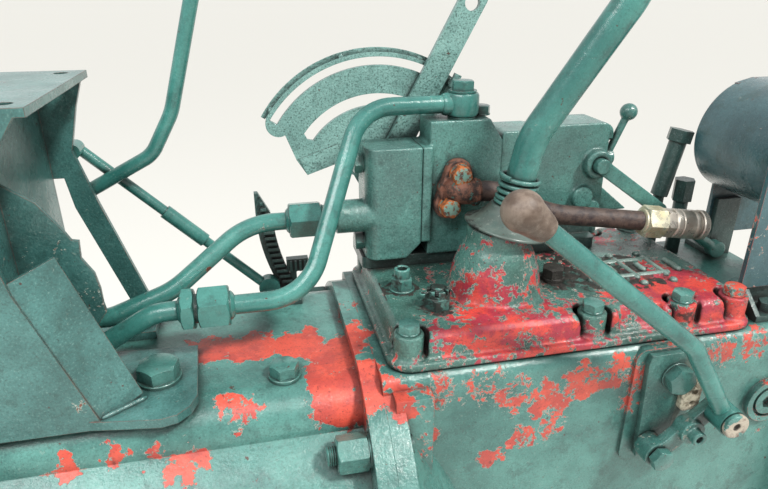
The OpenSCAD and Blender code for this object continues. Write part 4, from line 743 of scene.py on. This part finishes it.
def weld(parts, start, end, seed):
    """Weld bead: overlapping scallops with an uneven edge."""
    radius = look().weld_radius / MM
    start, end = Vector(start), Vector(end)
    count = max(2, int((end - start).length / 0.8))
    points = [start + (end - start) * k / count for k in range(count)] + [end]
    sizes = []
    for k, point in enumerate(points):
        taper = min(1.0, 0.4 + 0.15 * min(k, count - k))
        wave = 0.10 * abs(math.sin(0.8 * k * math.pi / 3.4))
        wave += 0.18 * field.noise(point * 0.25 + Vector((seed, 0, 0)))
        sizes.append(radius * taper * (0.92 + wave))
    tube(parts, points, sizes, 12)


def slab(parts, outline, y0, y1, soften):
    """Plate with an outline in x and z, extruded from one y plane to another and softened along its edges."""
    made = sketch([(x, y0, z) for x, z in outline], filled=True)
    with edit_mode():
        bpy.ops.mesh.extrude_region_move(TRANSFORM_OT_translate={"value": (0, y1 - y0, 0)})
    merge()
    soft = made.modifiers.new("Soften", "BEVEL")
    soft.width = soften
    soft.segments = 3
    soft.angle_limit = math.radians(50)
    apply_modifiers(made)
    parts.append(made)


def stadium(p, q, radius, segments=20):
    """Outline of two round ends joined by their tangents."""
    angle = math.atan2(q[1] - p[1], q[0] - p[0])
    turns = [angle + math.pi / 2 + math.pi * k / segments for k in range(segments + 1)]
    return ([(p[0] + radius * math.cos(a), p[1] + radius * math.sin(a)) for a in turns]
            + [(q[0] - radius * math.cos(a), q[1] - radius * math.sin(a)) for a in turns])


# Castings whose edges are rounded as sand casting and thick paint leave them:
# node, voxel as a share of the casting grain, share of the smoothing rounds
CASTINGS = [
    ("gear_cover", 1.1, 1.2), ("valve_end", 0.8, 1.0), ("valve_body", 0.8, 1.0), ("valve_spool_block", 0.8, 1.0),
    ("range_arm", 0.5, 0.6), ("range_knob", 0.55, 0.6), ("side_cover", 1.0, 0.6), ("release_fork", 0.7, 0.8),
    ("link_lever", 0.5, 0.4), ("paddle_lever", 0.45, 0.6),
]

# Hexagon bolts: node, place, axis, turn, width across flats, height, washer radius and thickness,
# shank radius and how far it goes in
COVER_BOLTS = [(x, side * 86, 252 if side > 0 and x < 600 else 240, turn)
               for x, turn in ((365, 19), (534, 188), (625, 279), (680, 334)) for side in (-1, 1)]
BOLTS = [
    *[("cover_bolts", (x, y, z), (0, 0, 1), turn, 17, 7, 9.4, 1.6, 4.9, z - 186) for x, y, z, turn in COVER_BOLTS],
    ("stand_bolts", (28, -58, 206), (0, 0, 1), 20, 30, 12, 18, 3, 9.9, 22),
    ("stand_bolts", (159, -58, 206), (0, 0, 1), 20, 30, 12, 18, 3, 9.9, 22),
    ("stand_bolts", (261, -66, 198), (0, 0, 1), 10, 22, 10, 14, 3, 6, 12),
    ("valve_bolts", (353, 53, 268), (-1, 0, 0), -30, 17, 7.6, 9.6, 1.4, 4, 4),
    ("valve_bolts", (353, 53, 348), (-1, 0, 0), -30, 17, 7.6, 9.6, 1.4, 4, 4),
    ("valve_bolts", (474, 61, 388), (0, 0, 1), 0, 17, 7.6, 9.6, 1.4, 4, 4),
    ("valve_bolts", (615, 65, 361), (1, 0, 0), 0, 15, 6.8, 8.6, 1.2, 4, 4),
    ("range_bolts", (607, -118, 181), (0, -1, 0), -15, 24, 11, 14, 2, 7.9, 16),
    ("range_bolts", (591, -138.3, 108), (0, -1, 0), -10, 19, 8, 0, 0, 7.4, 36),
]
# Raised bars and dots of the shift pattern on the cover's top
SHIFT_BARS = [
    (562, -34.5, 646, -34.5), (562, -2.5, 646, -2.5), (578, -38, 578, 1), (610, -38, 610, 1), (642, -38, 642, 1),
    (662, -30, 662, -8), (594, -24, 594, -13), (626, -24, 626, -13),
]
SHIFT_DOTS = [(578, -50), (610, -50), (642, -50), (578, 13), (610, 13), (642, 13)]
COVER_TOP = 240
# Rear face of the joint flange, and the circle that its nuts stand on
FLANGE_BACK = 295
NUT_CIRCLE = 208
CAP_BALL = 50
# Oily dirt on the cover's top: x, y, half width, half depth, share of the crust height, seed
CRUSTS = [
    (596, -22, 62, 44, 0.55, 3), (528, -24, 24, 22, 1.0, 11), (401, -49, 20, 20, 0.8, 17),
    (378, -10, 19, 18, 0.5, 23), (566, 24, 30, 26, 0.4, 29),
]
# Weld beads: piece, the node that it goes with, finish, and each bead's start, end and seed
WELDS = [
    ("stand_welds", "front_stand", "shaded_stand_enamel", [
        ((122, -103, 206.5), (152, -83, 206.5), 1), ((8, -100.5, 206.5), (50, -100.5, 206.5), 5),
        ((10, 59.5, 206.5), (70, 59.5, 206.5), 9), ((8, -100.5, 433.5), (100, -100.5, 433.5), 13)]),
    ("pedestal_welds", "pedestal_brackets", "grimy_enamel", [
        ((712, -74.5, 215.5), (790, -74.5, 215.5), 21), ((776, 63.0, 215.5), (792, 63.0, 215.5), 25)]),
]
PIPE_END = Vector((642, 12, 279))
COUPLING_AXIS = Vector((0.988987, -0.0775676, -0.126047))
LEVER_BALL = Vector((466, -22, 262))
LEVER_AXIS = Vector((math.sin(math.radians(12)), 0, math.cos(math.radians(12))))


class GEARBOX_OT_paint_frame(bpy.types.Operator):
    """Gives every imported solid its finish"""

    bl_idname = "gearbox.paint_frame"
    bl_label = "Paint the packed solids"

    def execute(self, context):
        make_finishes()
        for name, node in NODES.items():
            wear(node, finish_of(name))
        return {"FINISHED"}


class GEARBOX_OT_castings(bpy.types.Operator):
    """Rounds the castings' edges off on copies that stand for the solids"""

    bl_idname = "gearbox.castings"
    bl_label = "Soft castings"

    def execute(self, context):
        for node, grain, share in CASTINGS:
            piece = new_object("cast_" + node, NODES[node].data.copy())
            merge(0.00002)
            remesh = piece.modifiers.new("Remesh", "REMESH")
            remesh.mode = "VOXEL"
            remesh.voxel_size = look().casting_voxel * grain
            smooth = piece.modifiers.new("Smooth", "SMOOTH")
            smooth.factor = 0.5
            smooth.iterations = round(look().casting_rounds * share)
            apply_modifiers(piece)
            bpy.ops.object.shade_smooth()
            settle(piece, node)
        return {"FINISHED"}


class GEARBOX_OT_fasteners(bpy.types.Operator):
    """Models the bolts, nuts, studs and washers with chamfered hexagons"""

    bl_idname = "gearbox.fasteners"
    bl_label = "Bolts and nuts"

    def execute(self, context):
        groups = {}
        for node, point, axis, turn, across, height, ring, thick, shank, deep in BOLTS:
            parts = groups.setdefault(node, [])
            place = facing(point, axis, turn)
            if ring:
                washer(parts, place, ring, thick)
            hexagon(parts, place, across, height, thick)
            disc(parts, place, shank, -deep, thick + 0.5, 24)
        self.add_studs(groups["cover_bolts"])
        for node, parts in groups.items():
            make_piece(node + "_turned", parts, node)
        self.add_joint_nuts()
        self.add_plug()
        return {"FINISHED"}

    def add_studs(self, parts):
        """The hollow bolt and the castle nut with its split pin on the cover."""
        place = facing((378, -10, COVER_TOP), (0, 0, 1), 12)
        washer(parts, place, 12, 2)
        hexagon(parts, place, 19, 11, 2)
        lathe(parts, place, [
            (0, 12), (7.5, 12), (7.5, 21.3), (6.8, 22), (5.1, 22), (4.5, 21.4), (4.5, 12.6), (0, 12.6)])
        place = facing((401, -49, COVER_TOP), (0, 0, 1), 8)
        hexagon(parts, place, 22, 11)
        crown = lathe(parts, Matrix(), [(6, 10.5), (9.9, 10.5), (9.9, 17.4), (9.2, 18), (6, 18)], 60, ring=True)
        for turn in (0, 60, 120):
            only()
            bpy.ops.mesh.primitive_cube_add(
                size=1, scale=(24, 3.8, 9), location=(0, 0, 18), rotation=(0, 0, math.radians(turn)))
            cut(crown, bpy.context.active_object, "DIFFERENCE")
        crown.data.transform(place)
        thread(parts, place, 6.1, 4, 20)
        for side in (-0.75, 0.75):
            pin = [(-13.2, 0, 15.2), (12.4, 0, 15.2), (13.6, side * 2, 13.6), (13.9, side * 5, 8.5)]
            tube(parts, [place @ (Vector(p) + Vector((0, side, 0))) for p in pin], 0.75, 10)
        eye = [place @ Vector((-14.6 + 2.2 * math.cos(a), 2.2 * math.sin(a), 15.2))
               for a in (math.radians(30 + 300 * k / 14) for k in range(15))]
        tube(parts, eye, 0.85, 8)

    def add_joint_nuts(self):
        """Long nuts and threaded stud ends round the joint flange."""
        parts = []
        for angle in (-129, -84, -39, 39, 84, 129, 180):
            turn = math.radians(angle)
            spot = (FLANGE_BACK, NUT_CIRCLE * math.sin(turn), NUT_CIRCLE * math.cos(turn))
            place = facing(spot, (1, 0, 0), 30 - angle)
            hexagon(parts, place, 27, 25.6, both=True)
            disc(parts, place, 14.6, 25.2, 27)
            thread(parts, facing(spot, (-1, 0, 0)), 7.9, -3, 8)
            disc(parts, place, 7.9, 26, 63, 24)
        make_piece("joint_nuts_turned", parts, "joint_nuts")

    def add_plug(self):
        """Filler plug under a skin of oily dirt."""
        parts = []
        place = facing((527, -22, COVER_TOP), (0, 0, 1))
        lathe(parts, place, [(0, -6), (8.8, -6), (8.8, 0), (11, 0), (11, 3.4), (10.4, 4), (0, 4)])
        hexagon(parts, place, 19, 10, 3.8)
        make_piece("filler_plug_turned", parts, "filler_plug")


class GEARBOX_OT_lever_seat(bpy.types.Operator):
    """Winds the spring and spins the dust cap under the gear lever"""

    bl_idname = "gearbox.lever_seat"
    bl_label = "Lever seat"

    def execute(self, context):
        x = Vector((LEVER_AXIS.z, 0, -LEVER_AXIS.x))
        y = Vector((0, 1, 0))
        place = Matrix.Translation(LEVER_BALL) @ Matrix((x, y, LEVER_AXIS)).transposed().to_4x4()
        wire, turns, steps = 4.4, 5.6, 240
        parts, points = [], []
        for k in range(steps + 1):
            t = k / steps
            climb = min(max((t * turns - 0.75) / (turns - 1.5), 0), 1)
            angle = 2 * math.pi * turns * t
            reach = 16.3 + 1.5 * max(0, t * turns - turns + 1)
            points.append(place @ Vector((
                reach * math.cos(angle), reach * math.sin(angle), 60.2 + wire / 2 + (28 - wire) * climb)))
        tube(parts, points, wire / 2, 12)
        make_piece("spring_wound", parts, "cap_spring", "part_enamel", 60)

        parts = []
        hollow = [(r, math.sqrt(CAP_BALL ** 2 - r * r)) for r in (13.8, 18, 22, 26, 29.5, 32.4)]
        outside = [
            (38.4, 38), (39.6, 38.5), (40, 39.5), (39.6, 40.6), (38.4, 41.2), (36, 42.0), (33, 43.9), (30, 46.3),
            (27, 49.2), (24.4, 52.2), (22.3, 55.2), (21, 57.6), (20.2, 59.2), (19, 60), (13.8, 60)]
        lathe(parts, place, hollow + outside, 72, ring=True)
        make_piece("dust_cap_spun", parts, "dust_cap", angle=50)
        return {"FINISHED"}


class GEARBOX_OT_pipework(bpy.types.Operator):
    """Bends the pressure pipes and makes their unions and the banjo"""

    bl_idname = "gearbox.pipework"
    bl_label = "Pipes and unions"

    def execute(self, context):
        parts = []
        tube(parts, bent([(431, 51, 401), (352, 51, 401), (287, -29, 252), (219, -29, 252)], [44, 50]), 8.5, 32)
        nut = facing((194, -29, 252), (1, 0, 0))
        hexagon(parts, nut, 34, 26, both=True)
        lathe(parts, nut, [(0, 25.6), (12.5, 25.6), (12.5, 27.5), (10.4, 29.5), (8.4, 30.5), (0, 30.5)])
        disc(parts, nut, 12.6, -4, 1)
        make_piece("upper_pipe_bent", parts, "upper_pipe")

        parts = []
        tube(parts, bent([(194, -29, 252), (158, -29, 252), (112, -29, 226), (92, -29, 226)], [40, 30]), 8.5, 32)
        nut = facing((180, -29, 252), (1, 0, 0))
        hexagon(parts, nut, 34, 11, both=True)
        lathe(parts, nut, [(0, -3.4), (8.4, -3.4), (10.2, -2.6), (12.2, -0.8), (12.4, 0.4), (0, 0.4)])
        make_piece("union_pipe_bent", parts, "union_pipe")

        parts = []
        nut = facing((279, 48, 296), (1, 0, 0), 15)
        hexagon(parts, nut, 32, 31, both=True)
        lathe(parts, nut, [(0, -3.2), (8.6, -3.2), (10.4, -2.4), (12.4, -0.6), (12.6, 0.4), (0, 0.4)])
        lathe(parts, nut, [(0, 30), (13.6, 30), (13.6, 33), (13, 33.6), (13, 45), (0, 45)])
        make_piece("inlet_fitting_turned", parts, "inlet_fitting")

        parts = []
        eye = facing((451, 51, 388), (0, 0, 1), 20)
        lathe(parts, eye, [
            (0, 0), (13.6, 0), (13.6, 1.6), (12.6, 1.8), (14.8, 2.6), (16, 4.6), (16.4, 13), (16, 21.4), (14.8, 23.4),
            (12.6, 24.2), (13.4, 24.4), (13.4, 26), (0, 26)], 56)
        hexagon(parts, eye, 19, 9.2, 25.8)
        lathe(parts, facing((451, 51, 401), (-1, 0, 0)), [
            (0, 0), (10.8, 0), (10.8, 17), (10.2, 18.6), (9.6, 20), (8.4, 21), (0, 21)])
        make_piece("banjo_turned", parts, "banjo")
        return {"FINISHED"}


class GEARBOX_OT_return_line(bpy.types.Operator):
    """Makes the rusty return flange, its bolts and elbow, the plated nut and the quick coupling"""

    bl_idname = "gearbox.return_line"
    bl_label = "Return line"

    def execute(self, context):
        parts = []
        slab(parts, stadium((443, 339), (433, 307), 13.5), 26, 36, 1.6)
        tube(parts, bent([(438, 36, 323), (438, 22, 323), (461, 22, 321)], [11], 8), 12.6, 32)
        lathe(parts, facing((438, 34, 323), (0, -1, 0)), [(0, 0), (15, 0), (15, 9.6), (14, 10.6), (0, 10.6)])
        lathe(parts, facing((456, 22, 321), (1, 0, 0)), [(0, 0), (13.6, 0), (13.6, 3.4), (12.6, 4.4), (0, 4.4)])
        make_piece("return_flange_cast", parts, "return_flange")

        parts = []
        for x, z in ((443, 339), (433, 307)):
            place = facing((x, 26, z), (0, -1, 0), -12)
            washer(parts, place, 10.6, 2.2)
            hexagon(parts, place, 17.6, 9, 2)
        make_piece("return_flange_bolts", parts, "return_flange", "orange_rust", extra=True)

        parts = []
        place = facing(PIPE_END, COUPLING_AXIS)
        hexagon(parts, place, 30, 22, both=True)
        lathe(parts, place, [(0, -2.4), (11, -2.4), (12.6, -1.4), (13, 0.4), (0, 0.4)])
        make_piece("coupling_nut_turned", parts, "coupling_nut")

        parts = []
        place = facing(PIPE_END + COUPLING_AXIS * 22, COUPLING_AXIS)
        hexagon(parts, place, 27, 10, both=True)
        lathe(parts, place, [
            (0, 9.6), (14.2, 9.6), (15.5, 11), (15.5, 15.6), (14.9, 16.2), (14.9, 17.4), (15.5, 18), (15.5, 30),
            (15.1, 30.6), (15.1, 31.6), (15.5, 32.2), (15.5, 35.2), (14.8, 36), (13, 36.3), (13, 39.8), (15.2, 40.1),
            (16, 41), (16, 46), (15.2, 47), (11.6, 47), (11.2, 45.6), (9.6, 45.2), (9, 44.4), (9, 17), (8, 16),
            (0, 16)], 64)
        make_piece("quick_coupling_turned", parts, "quick_coupling")
        return {"FINISHED"}


class GEARBOX_OT_dirt(bpy.types.Operator):
    """Lays oily dirt on the gear cover and weld beads along the stand and the pedestal"""

    bl_idname = "gearbox.dirt"
    bl_label = "Dirt and welds"

    def execute(self, context):
        parts = []
        for x, y, wide, deep, share, seed in CRUSTS:
            self.add_crust(parts, x, y, wide, deep, look().crust_height / MM * share, seed)
        make_piece("oily_crust", parts, "filler_plug", "oily_dirt", 80, extra=True)

        parts = []
        for x0, y0, x1, y1 in SHIFT_BARS:
            start, end = Vector((x0, y0, COVER_TOP + 0.4)), Vector((x1, y1, COVER_TOP + 0.4))
            reach = (end - start).normalized() * 3
            tube(parts, [start - reach, start - reach * 0.6, start, end, end + reach * 0.6, end + reach],
                 [1.2, 2.8, 3.5, 3.5, 2.8, 1.2], 16)
        for x, y in SHIFT_DOTS:
            dome = [(0, -0.5), (4, -0.5), (3.9, 1.2), (3.2, 2.6), (1.8, 3.5), (0, 3.8)]
            lathe(parts, facing((x, y, COVER_TOP), (0, 0, 1)), dome, 20)
        make_piece("shift_pattern", parts, "gear_cover", "pattern_enamel", 60, extra=True)

        for name, node, finish, beads in WELDS:
            parts = []
            for bead in beads:
                weld(parts, *bead)
            make_piece(name, parts, node, finish, 70, extra=True)
        return {"FINISHED"}

    def add_crust(self, parts, x, y, wide, deep, height, seed):
        """Crumbly patch on the cover's top: a grid raised by a noise, which dips under the surface at its edge."""
        only()
        bpy.ops.mesh.primitive_grid_add(
            x_subdivisions=max(8, int(wide * 1.1)), y_subdivisions=max(8, int(deep * 1.1)), size=2)
        made = bpy.context.active_object
        for vertex in made.data.vertices:
            u, v = vertex.co.x, vertex.co.y
            spot = Vector((x + u * wide, y + v * deep, seed * 7.3))
            lumps = field.fractal(spot * 0.16, 0.7, 2.2, 5)
            edge = min(1.0, 2.4 * (1 - math.hypot(u, v)) + 0.5 * field.noise(spot * 0.1))
            rise = max(-0.9, height * (0.06 + 0.95 * lumps) * max(edge, -0.2) - (0.5 if edge < 0.15 else 0.0))
            vertex.co = (spot.x, spot.y, COVER_TOP + rise)
        solid = made.modifiers.new("Solidify", "SOLIDIFY")
        solid.thickness = 1.2
        apply_modifiers(made)
        parts.append(made)


# Light, background and camera; places are in metres here, and angles in degrees
SUN_STRENGTH = 3.4
SUN_FROM = Vector((0.46, -0.46, 0.76))
PANEL_POWER = 26
PANEL_FROM = Vector((-1.0, -0.9, 1.5))
ROOM_LIGHT = 0.30
BACKDROP_LIGHT = 0.92
SUN_SPREAD = 9
UNIT_MIDDLE = Vector((0.4, 0, 0.2))
FLOOR_RADIUS = 40
CAMERA_PLACE = (0.250, -0.509, 0.510)
CAMERA_TILT = 23.5
CAMERA_TURN = 12.5
CAMERA_LENS = 28.55


class GEARBOX_OT_stage(bpy.types.Operator):
    """Makes the floor, the soft light and the camera"""

    bl_idname = "gearbox.stage"
    bl_label = "Stage"

    def execute(self, context):
        scene = context.scene
        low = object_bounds()[0]
        bpy.ops.object.select_all(action="DESELECT")
        bpy.ops.mesh.primitive_circle_add(
            vertices=64, radius=FLOOR_RADIUS, fill_type="NGON", location=(UNIT_MIDDLE.x, 0, low.z - MM))
        floor = context.active_object
        floor.name = "floor"
        # Matt paper: a shade off white, with no gloss that would draw the eye
        _, shader, _ = start_material("pale_floor")
        plug(shader, {"Base Color": "#E4E4E0", "Roughness": 0.9})
        wear(floor, "pale_floor")
        floor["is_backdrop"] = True

        world = bpy.data.worlds.new("soft_room")
        scene.world = world
        world.use_nodes = True
        sky = world.node_tree.nodes["Background"]
        add = functools.partial(add_node, world.node_tree)
        rays = add("rays").outputs
        seen = add("maximum", rays["Is Camera Ray"], rays["Is Glossy Ray"])
        plug(sky, {
            "Color": (0.96, 0.96, 0.95, 1), "Strength": add("step", seen, 0.0, 1.0, ROOM_LIGHT, BACKDROP_LIGHT)})

        bpy.ops.object.light_add(type="SUN", rotation=SUN_FROM.to_track_quat("Z", "Y").to_euler())
        sun = context.active_object
        sun.name = "key_light"
        sun.data.energy = SUN_STRENGTH
        sun.data.angle = math.radians(SUN_SPREAD)
        sun.data.color = (1.0, 0.98, 0.94)
        bpy.ops.object.light_add(type="AREA", location=UNIT_MIDDLE + PANEL_FROM,
                                 rotation=PANEL_FROM.to_track_quat("Z", "Y").to_euler())
        panel = context.active_object
        panel.name = "soft_panel"
        panel.data.shape = "RECTANGLE"
        panel.data.size = 1.6
        panel.data.size_y = 0.5
        panel.data.energy = PANEL_POWER

        bpy.ops.object.camera_add(
            location=CAMERA_PLACE, rotation=(math.radians(90 - CAMERA_TILT), 0, math.radians(-CAMERA_TURN)))
        camera = context.active_object
        camera.name = "camera"
        camera.data.sensor_width = 36
        camera.data.lens = CAMERA_LENS
        camera.data.clip_start = 0.01
        scene.camera = camera
        scene.view_settings.view_transform = "Standard"
        return {"FINISHED"}


class GEARBOX_PT_panel(bpy.types.Panel):
    """Colours, sizes and building steps of the gearbox unit"""

    bl_label = "Gearbox"
    bl_idname = "GEARBOX_PT_panel"
    bl_space_type = "VIEW_3D"
    bl_region_type = "UI"
    bl_category = "Gearbox"

    def draw(self, context):
        column = self.layout.column()
        for name in GearboxLook.__annotations__:
            column.prop(context.scene.gearbox_look, name)
        for step_class in STEPS:
            column.operator(step_class.bl_idname)


STEPS = [
    GEARBOX_OT_paint_frame, GEARBOX_OT_castings, GEARBOX_OT_fasteners, GEARBOX_OT_lever_seat, GEARBOX_OT_pipework,
    GEARBOX_OT_return_line, GEARBOX_OT_dirt, GEARBOX_OT_stage,
]


def register():
    for made in [GearboxLook, *STEPS, GEARBOX_PT_panel]:
        bpy.utils.register_class(made)
    bpy.types.Scene.gearbox_look = bpy.props.PointerProperty(type=GearboxLook)


def unregister():
    del bpy.types.Scene.gearbox_look
    for made in reversed([GearboxLook, *STEPS, GEARBOX_PT_panel]):
        bpy.utils.unregister_class(made)


def main():
    register()
    bpy.ops.gearbox.paint_frame()
    bpy.ops.gearbox.castings()
    bpy.ops.gearbox.fasteners()
    bpy.ops.gearbox.lever_seat()
    bpy.ops.gearbox.pipework()
    bpy.ops.gearbox.return_line()
    bpy.ops.gearbox.dirt()
    bpy.ops.gearbox.stage()


if __name__ == "__main__":
    main()
